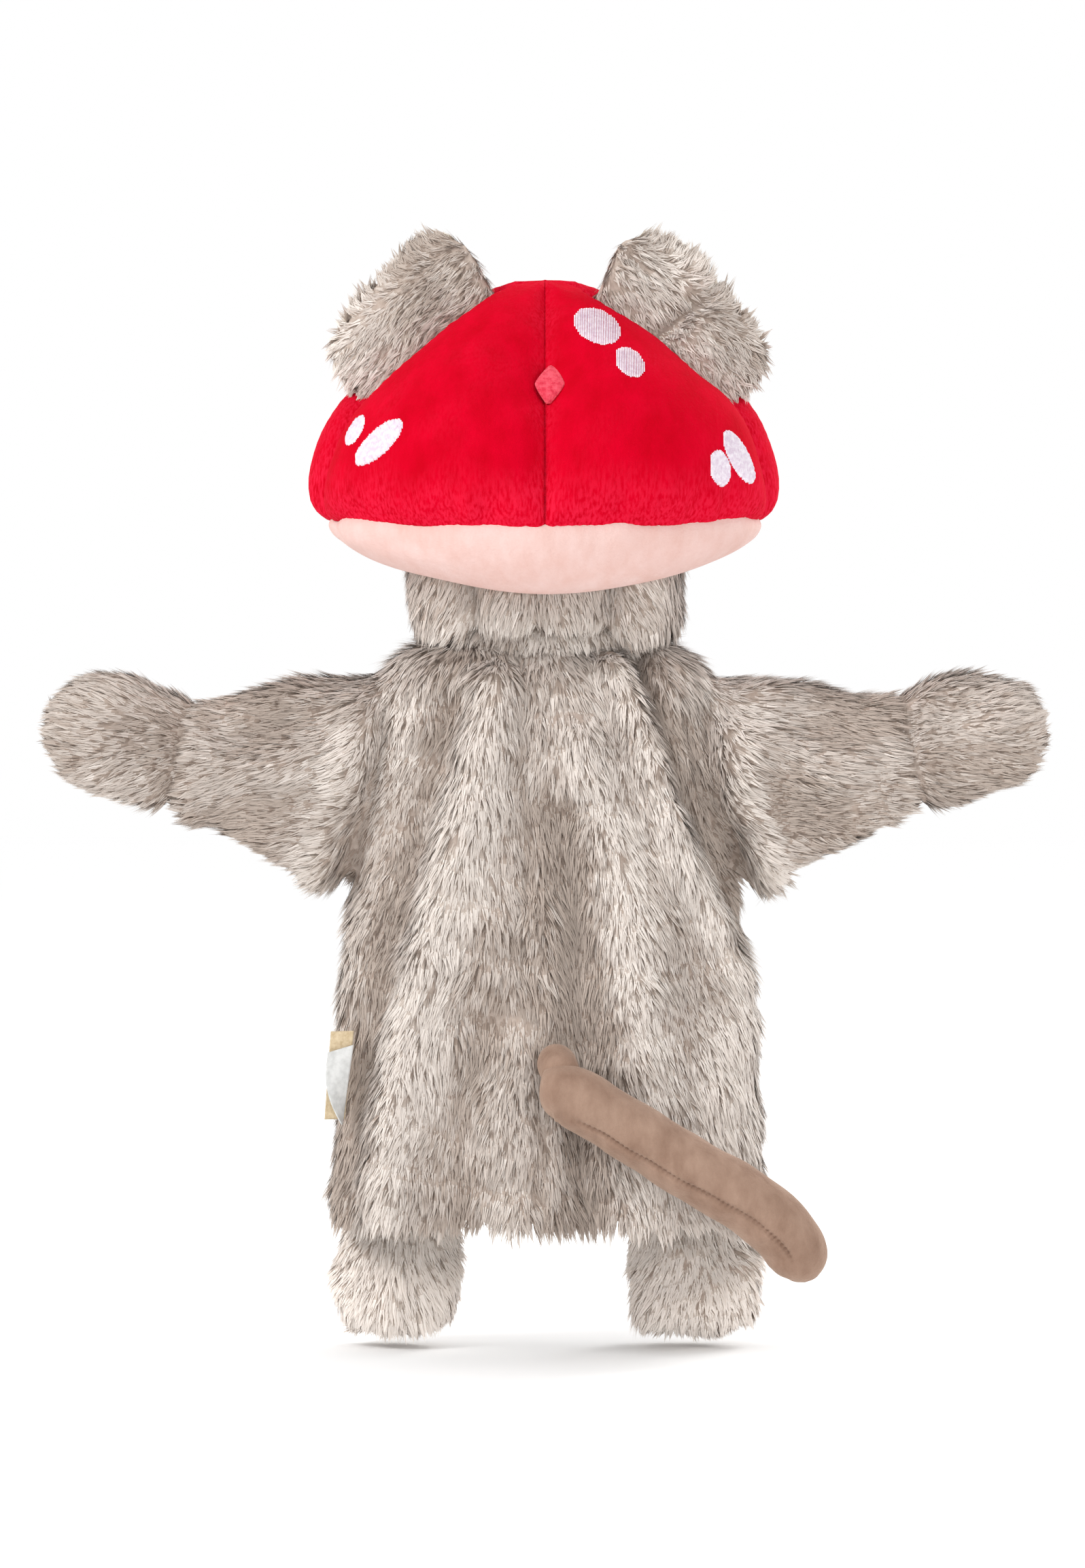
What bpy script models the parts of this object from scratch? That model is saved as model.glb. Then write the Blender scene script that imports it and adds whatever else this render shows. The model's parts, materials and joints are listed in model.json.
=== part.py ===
"""Plush glove puppet: a grey mouse wearing a toadstool cap, arms held out.

Metres, +Z up, facing -Y, so the tail and the hanging loop are at +Y.
The origin is the centre of the wrist opening, level with the hem.
Sizes below are in millimetres and are scaled when a mesh is made.
"""
from math import asin, cos, degrees, hypot, pi, radians, sin, sqrt

import bmesh
import bpy
from mathutils import Vector

MM = 0.001
GAP = 0.3                     # clearance between neighbouring pieces
PLUSH = 2.4                   # thickness of the plush fabric with its pile pressed flat
VELBOA = 1.8                  # thickness of the short-pile fabric
LINING = 0.8

# Torso: height, half width and half depth of each station from hem to neck
TORSO_STATIONS = ((0, 61.5, 24), (17, 63, 25), (57, 60.5, 25), (94, 56.5, 24),
                  (127, 52, 23), (150, 46, 21), (159, 43, 19), (165, 39, 17))
TORSO_POWER = 2.2
SIDE_SEAM = 26                # degrees that the side seam lies behind the widest line
SEAM_SLIT = 0.4               # half the seam gap, in degrees

# Shoulders: a vertical knuckle for the swing, a level one for the lift
SHOULDER_X = 42
SHOULDER_Z = 127
KNUCKLE_R = 19
KNUCKLE_LOW = 95
KNUCKLE_HIGH = 158
LIFT_R = 35.6
ROOT_DEPTH = 15
DUCT = (21, 11)               # half height and half depth of the finger duct
ARMPIT_RELIEF = 42            # degrees below level where the sleeve's lower corner is cut away

# Sleeve: distance out, centre height, half height and half depth
SLEEVE_STATIONS = ((58, 126.7, 31, 15.2), (70, 127.6, 28.2, 15.2), (80, 129, 25.5, 15),
                   (92, 131.6, 21.5, 14), (103, 134, 18.3, 13))
WRIST_X = 112
WRIST_Z = 136
WRIST_R = 18
PAW_TIP = 145
PAW_HALF = (20.4, 13.8)       # half height and half depth at the thickest place

# Neck, head and cap
NECK_BAND = (165.5, 168.2, 34, 17.5)      # low, high, half width, half depth
NOD_Z = 195
HEAD_STATIONS = ((171.2, 27, 16), (174, 33, 21), (180, 38, 26), (188, 40.5, 29),
                 (196, 41, 30), (203, 41, 30))
HEAD_SEAT = (41 + GAP, 30 + GAP)        # outline that stands just clear of the head
CAP_RIM_Z = 201
CAP_DEPTH = 0.72              # depth of the cap over its width
CAP_RISE = 16                 # how far the rim climbs from the side to the front
CAP_DROP = 5                  # how far it falls from the side to the back
CAP_PROFILE = ((63.5, 0), (65, 7), (64.2, 18), (60.5, 30), (50.5, 40.5), (34, 52.5),
               (16, 65), (5, 70.4))
UNDERSIDE_PROFILE = ((62.8, -1.2), (60.5, -7.5), (55, -13.5), (49, -16.4), (44.5, -15.2))
CAP_SEAM_X = -1.8

# Face: stations (y, half width, half height, z) and (y, half size) towards the tip
MUZZLE_STATIONS = ((-29, 15, 9, 182), (-34, 16, 10, 181.5), (-40, 14.5, 9.5, 181.5),
                   (-45, 11, 7.5, 182), (-48.5, 7, 5, 183))
MUZZLE_TIP = (0, -49.9, 183.5)
NOSE_STATIONS = ((-50.5, 2.6), (-51.7, 4.2), (-53, 4.4), (-54.4, 3.0))
NOSE_TIP = (0, -55, 185.1)
NOSE_FLATNESS = 0.8
EYE_STATIONS = ((-26, 2.5), (-28, 3.6), (-29.8, 3.4), (-31, 2.2))
EYE_X = 17
EYE_Z = 193
EYE_TIP_Y = -31.6
EYE_TALLNESS = 1.1
LOOP_Z = 237.6
LOOP_SIZE = (7.2, 11, 6.4)    # width, height and stand-off
LOOP_TAPE = 1.0
POCKET = (10.5, 170.5, 226)   # finger pocket: inner radius, low end, high end

# Ears: inner and outer end of the hinge line, reach and thickness
EAR_INNER = (17, 271.5)
EAR_OUTER = (51.5, 244.2)
EAR_REACH = 25
EAR_HALF_THICK = 4.2

# Feet: height, half width and half depth below the hinge
FOOT_X = 43.6
FOOT_Y = -13
FOOT_HINGE_Z = -4.6
FOOT_STATIONS = ((-4.6, 15.5, 4.0), (-10, 17.4, 9.2), (-18, 19.3, 13.5), (-25, 19, 13.6),
                 (-31, 14.5, 10.5))
FOOT_TIP_Z = -34.5

# Tail: points of its middle line and its half thickness there
TAIL_BASE = ((-1, 28.8, 46.5, 6.2), (-1.6, 30.6, 45.9, 7.2), (-2.6, 33, 44.9, 5.6))
TAIL_PATH = ((-8.6, 36.2, 39.2, 5.4), (-11, 36.4, 37.8, 7.9), (-20, 36.6, 32.6, 8.8), (-35, 36.8, 23.6, 8.8),
             (-50, 36.6, 14.6, 8.7), (-62, 36.4, 6.6, 8.5), (-69.5, 36.2, -0.6, 8.3),
             (-73, 36, -8.6, 7.6))
TAIL_TIP = (-74.2, 36, -15.6)
TAIL_SWING = (-2, 29, 45)
TAIL_LIFT = (-4, 34.4, 41.8)

LABEL_Z = (29.5, 54.5)
CARE_LABEL_Z = (31, 52)
LABEL_HINGE = (55.6, 13.6)


def material(name, colour, roughness, metallic=0.0):
    made = bpy.data.materials.new(name)
    made.use_nodes = True
    shader = made.node_tree.nodes["Principled BSDF"]
    shader.inputs["Base Color"].default_value = (*colour, 1)
    shader.inputs["Roughness"].default_value = roughness
    shader.inputs["Metallic"].default_value = metallic
    return made


FINISHES = {
    "plush": ((0.50, 0.44, 0.39), 0.95), "red_velboa": ((0.66, 0.005, 0.015), 0.8),
    "pink_velboa": ((0.90, 0.64, 0.58), 0.85), "tail_velboa": ((0.33, 0.22, 0.165), 0.85),
    "cream_plush": ((0.86, 0.78, 0.66), 0.9), "stuffing": ((0.9, 0.9, 0.88), 1.0),
    "lining": ((0.62, 0.56, 0.50), 0.8), "tape": ((0.75, 0.58, 0.37), 0.8),
    "satin": ((0.75, 0.75, 0.72), 0.45), "loop_tape": ((0.90, 0.10, 0.16), 0.7),
    "eye": ((0.01, 0.01, 0.012), 0.15),
    "nose": ((0.75, 0.30, 0.30), 0.6),
}


def make(name, finish, points, faces, origin=(0, 0, 0)):
    """One closed body from points in millimetres, its faces turned outwards."""
    mesh = bpy.data.meshes.new(name)
    pivot = Vector(origin)
    mesh.from_pydata([(Vector(p) - pivot) * MM for p in points], [], faces)
    shape = bmesh.new()
    shape.from_mesh(mesh)
    bmesh.ops.recalc_face_normals(shape, faces=shape.faces)
    shape.to_mesh(mesh)
    shape.free()
    mesh.shade_smooth()
    mesh.set_sharp_from_angle(angle=radians(40))
    colour, roughness = FINISHES[finish]
    mesh.materials.append(material(name, colour, roughness))
    made = bpy.data.objects.new(name, mesh)
    made.location = pivot * MM
    bpy.context.scene.collection.objects.link(made)
    return made


def strips(first, second, wrap):
    """Quads between two equal rows of point numbers."""
    count = len(first)
    last = count if wrap else count - 1
    return [(first[i], first[(i + 1) % count], second[(i + 1) % count], second[i])
            for i in range(last)]


def fan(row, tip):
    return [(row[i], row[(i + 1) % len(row)], tip) for i in range(len(row))]


def shell(name, finish, outer, inner, wrap=True, tips=None, origin=(0, 0, 0)):
    """A wall between two grids of rings, open at the first ring, and closed at the
    last by a pair of tips or left open there too."""
    width = len(outer[0])
    rows = len(outer)
    points = [p for ring in outer for p in ring] + [p for ring in inner for p in ring]
    out_rows = [list(range(r * width, (r + 1) * width)) for r in range(rows)]
    in_rows = [[rows * width + i for i in row] for row in out_rows]
    faces = []
    for grid in (out_rows, in_rows):
        for low, high in zip(grid, grid[1:]):
            faces += strips(low, high, wrap)
    faces += strips(out_rows[0], in_rows[0], wrap)
    if tips:
        points += list(tips)
        faces += fan(out_rows[-1], len(points) - 2) + fan(in_rows[-1], len(points) - 1)
    else:
        faces += strips(out_rows[-1], in_rows[-1], wrap)
    if not wrap:
        for side in (0, -1):
            edge_out = [row[side] for row in out_rows]
            edge_in = [row[side] for row in in_rows]
            faces += strips(edge_out, edge_in, False)
    return make(name, finish, points, faces, origin)


def loft(name, finish, rings, start=None, end=None, origin=(0, 0, 0)):
    """A solid through a row of rings, closed at both ends."""
    width = len(rings[0])
    points = [p for ring in rings for p in ring]
    rows = [list(range(r * width, (r + 1) * width)) for r in range(len(rings))]
    faces = []
    for low, high in zip(rows, rows[1:]):
        faces += strips(low, high, True)
    for row, tip in ((rows[0], start), (rows[-1], end)):
        if tip is None:
            tip = sum((Vector(points[i]) for i in row), Vector()) / width
        points.append(tip)
        faces += fan(row, len(points) - 1)
    return make(name, finish, points, faces, origin)


def oval(half_a, half_b, power=2.0, count=28, start=0.0, stop=360.0):
    """Points (a, b) of a superellipse; a full turn leaves out the repeated last point."""
    full = abs(stop - start - 360.0) < 1e-6
    steps = count if full else count - 1
    found = []
    for i in range(count):
        angle = radians(start + (stop - start) * i / steps)
        ca, sb = cos(angle), sin(angle)
        found.append((half_a * abs(ca) ** (2 / power) * (1 if ca >= 0 else -1),
                      half_b * abs(sb) ** (2 / power) * (1 if sb >= 0 else -1)))
    return found


def level_ring(z, half_x, half_y, x=0.0, y=0.0, **kind):
    return [(x + a, y + b, z) for a, b in oval(half_x, half_y, **kind)]


def upright_ring(x, z, half_z, half_y, **kind):
    return [(x, b, z + a) for a, b in oval(half_z, half_y, **kind)]


def cutter(name, points, faces):
    tool = make(name, "stuffing", points, faces)
    tool.hide_render = True
    tool.display_type = "WIRE"
    return tool


def prism(name, outline, low, high, to_point):
    """A cutter: an outline pushed from low to high; to_point places (u, v, w)."""
    count = len(outline)
    points = [to_point(u, v, low) for u, v in outline]
    points += [to_point(u, v, high) for u, v in outline]
    faces = [tuple(range(count)), tuple(range(count, 2 * count))]
    faces += strips(list(range(count)), list(range(count, 2 * count)), True)
    return cutter(name, points, faces)


def cut(target, tool, operation="DIFFERENCE"):
    step = target.modifiers.new(tool.name, "BOOLEAN")
    step.object = tool
    step.operation = operation
    step.solver = "EXACT"


def circle(centre, radius, count=40):
    return [(centre[0] + radius * cos(2 * pi * i / count),
             centre[1] + radius * sin(2 * pi * i / count)) for i in range(count)]


def flat(u, v, w):
    """Outline in the floor's plane, pushed upwards."""
    return (u, v, w)


def across(u, v, w):
    """Outline in the puppet's own plane, pushed along Y."""
    return (u, w, v)


def along(u, v, w):
    """Outline seen from the side, pushed along X."""
    return (w, u, v)


def torso_rings(inset, start, stop, count):
    return [level_ring(z, a - inset, b - inset, power=TORSO_POWER, count=count,
                       start=start, stop=stop) for z, a, b in TORSO_STATIONS]


def armhole_cutters():
    tools = []
    for side in (1, -1):
        ring = circle((side * SHOULDER_X, 0), KNUCKLE_R + 0.6, 48)
        tools.append(prism(f"armhole_{side}", ring, KNUCKLE_LOW - 0.6, KNUCKLE_HIGH + 0.7, flat))
        near, far = side * (SHOULDER_X - 0.5), side * 90
        box = [(near, -40), (far, -40), (far, 40), (near, 40)]
        tools.append(prism(f"side_{side}", box, KNUCKLE_LOW - 0.6, 180, flat))
    return tools


def build_torso():
    tools = armhole_cutters()
    seam = SIDE_SEAM
    spans = {"back_panel": (seam + SEAM_SLIT, 180 - seam - SEAM_SLIT, 15),
             "front_panel": (180 - seam + SEAM_SLIT, 360 + seam - SEAM_SLIT, 19)}
    pieces = []
    for name, (start, stop, count) in spans.items():
        outer = torso_rings(0, start, stop, count)
        inner = torso_rings(PLUSH, start, stop, count)
        pieces.append(shell(name, "plush", outer, inner, wrap=False))
    outer = torso_rings(PLUSH + GAP, 0, 360, 24)
    inner = torso_rings(PLUSH + GAP + LINING, 0, 360, 24)
    pieces.append(shell("hand_lining", "lining", outer, inner))
    for piece in pieces:
        for tool in tools:
            cut(piece, tool)


def build_root(side, name):
    """Sleeve head: a knuckle that turns about the vertical and ends in a level one."""
    meet = degrees(asin(ROOT_DEPTH / KNUCKLE_R))
    outline = []
    for i in range(25):
        angle = radians(meet + (360 - 2 * meet) * i / 24)
        outline.append((side * (SHOULDER_X + KNUCKLE_R * cos(angle)), KNUCKLE_R * sin(angle)))
    far = side * (SHOULDER_X + LIFT_R + 6)
    outline += [(far, -ROOT_DEPTH), (far, ROOT_DEPTH)]
    count = len(outline)
    points = [(x, y, z) for z in (KNUCKLE_LOW, KNUCKLE_HIGH) for x, y in outline]
    faces = [tuple(range(count)), tuple(range(count, 2 * count))]
    faces += strips(list(range(count)), list(range(count, 2 * count)), True)
    root = make(name, "plush", points, faces, (side * SHOULDER_X, 0, SHOULDER_Z))
    arc = circle((side * SHOULDER_X, SHOULDER_Z), LIFT_R, 48)
    cut(root, prism(f"{name}_round", arc, -30, 30, across), "INTERSECT")
    duct = [(b, SHOULDER_Z + a) for a, b in oval(*DUCT, power=2.6, count=20)]
    low, high = sorted((side * 14, side * 90))
    cut(root, prism(f"{name}_duct", duct, low, high, along))


def build_sleeve(side, name):
    outer = [upright_ring(side * x, z, h, d, power=2.3) for x, z, h, d in SLEEVE_STATIONS]
    inner = [upright_ring(side * x, z, h - 3, d - 3, power=2.3)
             for x, z, h, d in SLEEVE_STATIONS]
    centre = (side * SHOULDER_X, 0, SHOULDER_Z)
    sleeve = shell(name, "plush", outer, inner, origin=centre)
    arc = circle((centre[0], SHOULDER_Z), LIFT_R + 0.6, 64)
    cut(sleeve, prism(f"{name}_round", arc, -30, 30, across))
    slope = radians(ARMPIT_RELIEF)
    wedge = [(centre[0], SHOULDER_Z),
             (centre[0] + side * 100 * cos(slope), SHOULDER_Z - 100 * sin(slope)),
             (centre[0], 20)]
    cut(sleeve, prism(f"{name}_relief", wedge, -30, 30, across))
    arc = circle((side * WRIST_X, WRIST_Z), WRIST_R + 0.6, 48)
    cut(sleeve, prism(f"{name}_wrist", arc, -30, 30, across))


def paw_rings(side, inset):
    """Rings from the rounded wrist end to just short of the tip."""
    rings = []
    half_z, half_y = PAW_HALF
    start = WRIST_X - WRIST_R + 3.2
    for i in range(9):
        x = start + (PAW_TIP - 1.2 - start) * (i / 8) ** 0.9
        if x < WRIST_X:
            high = sqrt(WRIST_R ** 2 - (WRIST_X - x) ** 2)
        else:
            swell = (x - WRIST_X) / (PAW_TIP - WRIST_X)
            high = (WRIST_R + (half_z - WRIST_R) * sin(pi * min(swell / 0.8, 0.5)))
            high *= sqrt(max(1 - max(0.0, (swell - 0.42) / 0.58) ** 2.2, 0.02))
        deep = half_y * high / half_z
        rise = 1.5 * max(0.0, min(1.0, (x - WRIST_X) / 14))
        rings.append(upright_ring(side * x, WRIST_Z + rise, high - inset, deep - inset,
                                  power=2.1, count=16))
    return rings


def build_paw(side, name):
    wrist = (side * WRIST_X, 0, WRIST_Z)
    outer = paw_rings(side, 0)
    inner = paw_rings(side, VELBOA)[:-1]
    inner.append([(p[0] - side * 1.6, p[1] * 0.4, WRIST_Z + 1.5 + (p[2] - WRIST_Z - 1.5) * 0.4)
                  for p in outer[-1]])
    tips = ((side * PAW_TIP, 0, WRIST_Z + 1.5), (side * (PAW_TIP - 2.2), 0, WRIST_Z + 1.5))
    shell(name, "plush", outer, inner, tips=tips, origin=wrist)
    rings = paw_rings(side, VELBOA + GAP)[:-1]
    end = (side * (PAW_TIP - 4), 0, WRIST_Z + 1.5)
    loft(f"{name}_stuffing", "stuffing", rings, end=end, origin=wrist)


def build_foot(side, name):
    hinge = (side * FOOT_X, FOOT_Y, FOOT_HINGE_Z)

    def rings(inset):
        return [level_ring(z, a - inset, b - inset, x=hinge[0], y=hinge[1], count=20)
                for z, a, b in FOOT_STATIONS]

    outer = rings(0)
    inner = rings(VELBOA)
    tips = ((hinge[0], FOOT_Y, FOOT_TIP_Z), (hinge[0], FOOT_Y, FOOT_TIP_Z + 2.4))
    shell(name, "plush", outer, inner, tips=tips, origin=hinge)
    stuffed = rings(VELBOA + GAP)
    end = (hinge[0], FOOT_Y, FOOT_TIP_Z + 3.2)
    loft(f"{name}_stuffing", "stuffing", stuffed, end=end, origin=hinge)


def build_neck_band():
    low, high, half_x, half_y = NECK_BAND
    outer = [level_ring(z, half_x, half_y) for z in (low, high)]
    inner = [level_ring(z, half_x - 3, half_y - 3) for z in (low, high)]
    shell("neck_band", "plush", outer, inner)


def head_rings(inset, start, stop, count):
    return [level_ring(z, a - inset, b - inset, power=2.1, count=count, start=start, stop=stop)
            for z, a, b in HEAD_STATIONS]


def build_head():
    nod = (0, 0, NOD_Z)
    for name, start, stop in (("head_back", 0.3, 179.7), ("head_front", 180.3, 359.7)):
        shell(name, "plush", head_rings(0, start, stop, 15), head_rings(PLUSH, start, stop, 15),
              wrap=False, origin=nod)
    radius, low, high = POCKET
    outer = [level_ring(z, radius + LINING, radius + LINING, count=20)
             for z in (low, 185, 200, 215, high)]
    inner = [level_ring(z, radius, radius, count=20) for z in (low, 185, 200, 215, high)]
    tips = ((0, 0, high + 4), (0, 0, high + 3))
    shell("finger_pocket", "lining", outer, inner, tips=tips, origin=nod)
    bore = radius + LINING + GAP
    outer = head_rings(PLUSH + GAP, 0, 360, 28)
    inner = [level_ring(z, bore, bore, count=28) for z, _, _ in HEAD_STATIONS]
    shell("head_stuffing", "stuffing", outer, inner, origin=nod)


def build_face():
    """Cream muzzle, nose and eyes, standing on the head's front wall."""
    nod = (0, 0, NOD_Z)
    rings = [[(a, y, z + b) for a, b in oval(half_x, half_z, count=20)]
             for y, half_x, half_z, z in MUZZLE_STATIONS]
    muzzle = loft("muzzle", "cream_plush", rings, end=MUZZLE_TIP, origin=nod)
    face = [(a, b) for a, b in oval(*HEAD_SEAT, power=2.1, count=48)]
    cut(muzzle, prism("muzzle_seat", face, 160, 210, flat))
    rings = [[(a, y, 185 + NOSE_FLATNESS * b) for a, b in oval(half, half, count=16)]
             for y, half in NOSE_STATIONS]
    loft("nose", "nose", rings, end=NOSE_TIP, origin=nod)
    for side, name in ((1, "eye_left"), (-1, "eye_right")):
        rings = [[(side * EYE_X + a, y, EYE_Z + EYE_TALLNESS * b)
                  for a, b in oval(half, half, count=16)] for y, half in EYE_STATIONS]
        eye = loft(name, "eye", rings, end=(side * EYE_X, EYE_TIP_Y, EYE_Z), origin=nod)
        cut(eye, prism(f"{name}_seat", face, 160, 215, flat))


def rim_height(angle):
    """Height of the cap's rim around the head: angle 90 is the back, 270 the front."""
    behind = sin(radians(angle))
    return CAP_RIM_Z - (CAP_DROP if behind > 0 else CAP_RISE) * behind * abs(behind) ** 0.5


def cap_ring(radius, rise, inset, start, stop, count):
    """One level of the dome; the slant of the rim fades out towards the top."""
    full = abs(stop - start - 360) < 1e-6
    steps = count if full else count - 1
    fade = max(0.0, 1 - max(rise, 0) / 71)
    ring = []
    for i in range(count):
        angle = start + (stop - start) * i / steps
        half_x = radius - inset
        half_y = (radius - inset) * CAP_DEPTH + inset * (CAP_DEPTH - 1) * 0.5
        slant = (rim_height(angle) - CAP_RIM_Z) * fade
        ring.append((half_x * cos(radians(angle)), half_y * sin(radians(angle)),
                     CAP_RIM_Z + rise + slant))
    return ring


def dome_normals():
    """Outward direction (radial, up) at each point of the dome's profile."""
    found = []
    last = len(CAP_PROFILE) - 1
    for i in range(last + 1):
        (r0, z0), (r1, z1) = CAP_PROFILE[max(i - 1, 0)], CAP_PROFILE[min(i + 1, last)]
        length = hypot(r1 - r0, z1 - z0)
        found.append(((z1 - z0) / length, -(r1 - r0) / length))
    return found


def dome_rings(inset, start, stop, count):
    rings = []
    for (radius, rise), (out, up) in zip(CAP_PROFILE, dome_normals()):
        if rise == 0:
            out, up = 1.0, 0.0
        rings.append(cap_ring(radius - inset * out, rise - inset * up, 0, start, stop, count))
    return rings


def build_cap():
    nod = (0, 0, NOD_Z)
    slit = 0.35
    spans = {"cap_back_left": (slit, 90 - slit, 9), "cap_back_right": (90 + slit, 180 - slit, 9),
             "cap_front": (180 + slit, 360 - slit, 17)}
    for name, (start, stop, count) in spans.items():
        shell(name, "red_velboa", dome_rings(0, start, stop, count),
              dome_rings(VELBOA, start, stop, count), wrap=False, origin=nod)
    outer = [cap_ring(r, z, 0, 0, 360, 32) for r, z in UNDERSIDE_PROFILE]
    inner = [cap_ring(r - (1.4 if i < 3 else 0.2), z + (VELBOA if i > 0 else 0.6), 0, 0, 360, 32)
             for i, (r, z) in enumerate(UNDERSIDE_PROFILE)]
    shell("cap_underside", "pink_velboa", outer, inner, origin=nod)
    radius, _, high = POCKET
    rings = dome_rings(VELBOA + 2 * GAP, 0, 360, 32)
    stuffing = loft("cap_stuffing", "stuffing", [[(x, y, z + 3.4) for x, y, z in rings[0]]]
                    + rings[1:-1] + [[(x * 0.6, y * 0.6, z - 1.5) for x, y, z in rings[-1]]],
                    origin=nod)
    bore = radius + LINING + GAP
    cut(stuffing, prism("pocket_hole", circle((0, 0), bore, 24), 190, high + 5, flat))
    head_hole = [(a, b) for a, b in oval(*HEAD_SEAT, power=2.1, count=32)]
    cut(stuffing, prism("head_hole", head_hole, 190, 203 + GAP, flat))


def dome_point(angle, rise, lift):
    """A point on the dome by its bearing and height, lifted clear of the fabric."""
    for (r0, z0), (r1, z1) in zip(CAP_PROFILE, CAP_PROFILE[1:]):
        if z0 <= rise <= z1:
            share = (rise - z0) / (z1 - z0)
            radius = r0 + (r1 - r0) * share
            length = hypot(r1 - r0, z1 - z0)
            out, up = (z1 - z0) / length, (r0 - r1) / length
            slant = (rim_height(angle) - CAP_RIM_Z) * max(0.0, 1 - rise / 71)
            reach = radius + lift * out
            return Vector((reach * cos(radians(angle)),
                           (reach * CAP_DEPTH + 0.3 * lift) * sin(radians(angle)),
                           CAP_RIM_Z + rise + slant + lift * up))
    raise ValueError(f"{rise} mm is not on the dome")


def build_loop():
    """Hanging loop: a strip of tape bent into an arch over the centre back seam."""
    width, height, stand = LOOP_SIZE
    lean = dome_point(90, LOOP_Z + 5 - CAP_RIM_Z, 0) - dome_point(90, LOOP_Z - 5 - CAP_RIM_Z, 0)
    up = lean.normalized()
    outward = Vector((0, up.z, -up.y))
    base = dome_point(90, LOOP_Z - CAP_RIM_Z, 1.2)
    points = []
    steps = 11
    for grow in (0.0, LOOP_TAPE):
        for side in (-0.5, 0.5):
            for i in range(steps):
                turn = pi * i / (steps - 1)
                place = base + up * cos(turn) * (height / 2 - LOOP_TAPE + grow)
                place += outward * sin(turn) * (stand - LOOP_TAPE + grow)
                points.append((CAP_SEAM_X + side * width, place.y, place.z))
    rows = [list(range(i * steps, (i + 1) * steps)) for i in range(4)]
    faces = []
    for first, second in ((0, 1), (1, 3), (3, 2), (2, 0)):
        faces += strips(rows[first], rows[second], False)
    for end in (0, -1):
        faces.append((rows[0][end], rows[1][end], rows[3][end], rows[2][end]))
    make("hanging_loop", "loop_tape", points, faces, (0, 0, NOD_Z))


def build_ear(side, back_name, lining_name):
    """Two layers of an ear, whose lower edge is round about the hinge line."""
    inner = Vector((side * EAR_INNER[0], 0, EAR_INNER[1]))
    outer = Vector((side * EAR_OUTER[0], 0, EAR_OUTER[1]))
    run = (outer - inner).normalized()
    rise = Vector((-run.z * side, 0, run.x * side))
    half = (outer - inner).length / 2
    middle = (inner + outer) / 2
    outline = [(a, EAR_REACH / 2 + b) for a, b in
               oval(half + 2, EAR_REACH / 2 + 3, power=2.6, count=28)]
    outline = [(a, max(b, -2.6 + abs(a) * 0.02)) for a, b in outline]
    for name, finish, way in ((back_name, "plush", 1), (lining_name, "cream_plush", -1)):
        rings = []
        for depth, shrink in ((0.15, 1.0), (EAR_HALF_THICK * 0.6, 0.99), (EAR_HALF_THICK, 0.86)):
            ring = []
            for a, b in outline:
                height = EAR_REACH / 2 + (b - EAR_REACH / 2) * shrink
                place = middle + run * a * shrink + rise * height
                ring.append((place.x, way * depth, place.z))
            rings.append(ring)
        loft(name, finish, rings, origin=middle)


def tube_rings(path, count=16):
    """Round rings square to a path of (x, y, z, half thickness)."""
    places = [Vector(p[:3]) for p in path]
    rings = []
    for i, place in enumerate(places):
        ahead = places[min(i + 1, len(places) - 1)] - places[max(i - 1, 0)]
        heading = ahead.normalized()
        side = heading.cross(Vector((0, 1, 0.2))).normalized()
        up = side.cross(heading)
        radius = path[i][3]
        rings.append([place + (side * a + up * b) for a, b in oval(radius, radius, count=count)])
    return rings


def build_tail():
    loft("tail_base", "tail_velboa", tube_rings(TAIL_BASE), origin=TAIL_SWING)
    outer = tube_rings(TAIL_PATH)
    slim = [(x, y, z, r - VELBOA) for x, y, z, r in TAIL_PATH]
    tip = Vector(TAIL_TIP)
    back = (Vector(TAIL_PATH[-1][:3]) - tip).normalized()
    shell("tail", "tail_velboa", outer, tube_rings(slim), tips=(tip, tip + back * 2.4),
          origin=TAIL_LIFT)
    filled = [(x, y, z, r - VELBOA - GAP) for x, y, z, r in TAIL_PATH]
    loft("tail_stuffing", "stuffing", tube_rings(filled), end=tip + back * 3.4,
         origin=TAIL_LIFT)


def build_labels():
    """Woven tape standing out of the side seam, and a care label folded over it."""
    x, y = LABEL_HINGE
    thick = 0.7
    low, high = LABEL_Z
    width = 8.4
    corners = [(0, -thick / 2), (width, -thick / 2), (width, thick / 2), (0, thick / 2)]
    points = [(x + a, y + b, z) for z in (low, high) for a, b in corners]
    faces = [(0, 1, 2, 3), (4, 5, 6, 7)] + strips([0, 1, 2, 3], [4, 5, 6, 7], True)
    make("label_tape", "tape", points, faces, (x, y, (low + high) / 2))
    fold = [(-0.2, 0.75), (6.6, 0.75), (6.6, 1.25), (-0.2, 1.25)]
    low, high = CARE_LABEL_Z
    points = [(x + a, y + b, z) for z in (low, high) for a, b in fold]
    make("care_label", "satin", points, faces, (x, y + 1, (low + high) / 2))


def main():
    for old in list(bpy.data.objects):
        bpy.data.objects.remove(old, do_unlink=True)
    build_torso()
    build_neck_band()
    build_head()
    build_face()
    build_cap()
    build_loop()
    build_tail()
    build_labels()
    for side, word in ((1, "left"), (-1, "right")):
        build_root(side, f"sleeve_head_{word}")
        build_sleeve(side, f"sleeve_{word}")
        build_paw(side, f"paw_{word}")
        build_foot(side, f"foot_{word}")
        build_ear(side, f"ear_back_{word}", f"ear_lining_{word}")


main()
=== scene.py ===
"""Looks of the plush glove puppet: pile, velboa, embroidery and tapes around the CAD frame.

Pattern sizes are in millimetres of the CAD torso; MM turns them into metres of the frame.
"""
import json
from math import cos, hypot, pi, radians, sin, sqrt

import bmesh
import bpy
import numpy as np
from mathutils import Matrix, Vector


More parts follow.
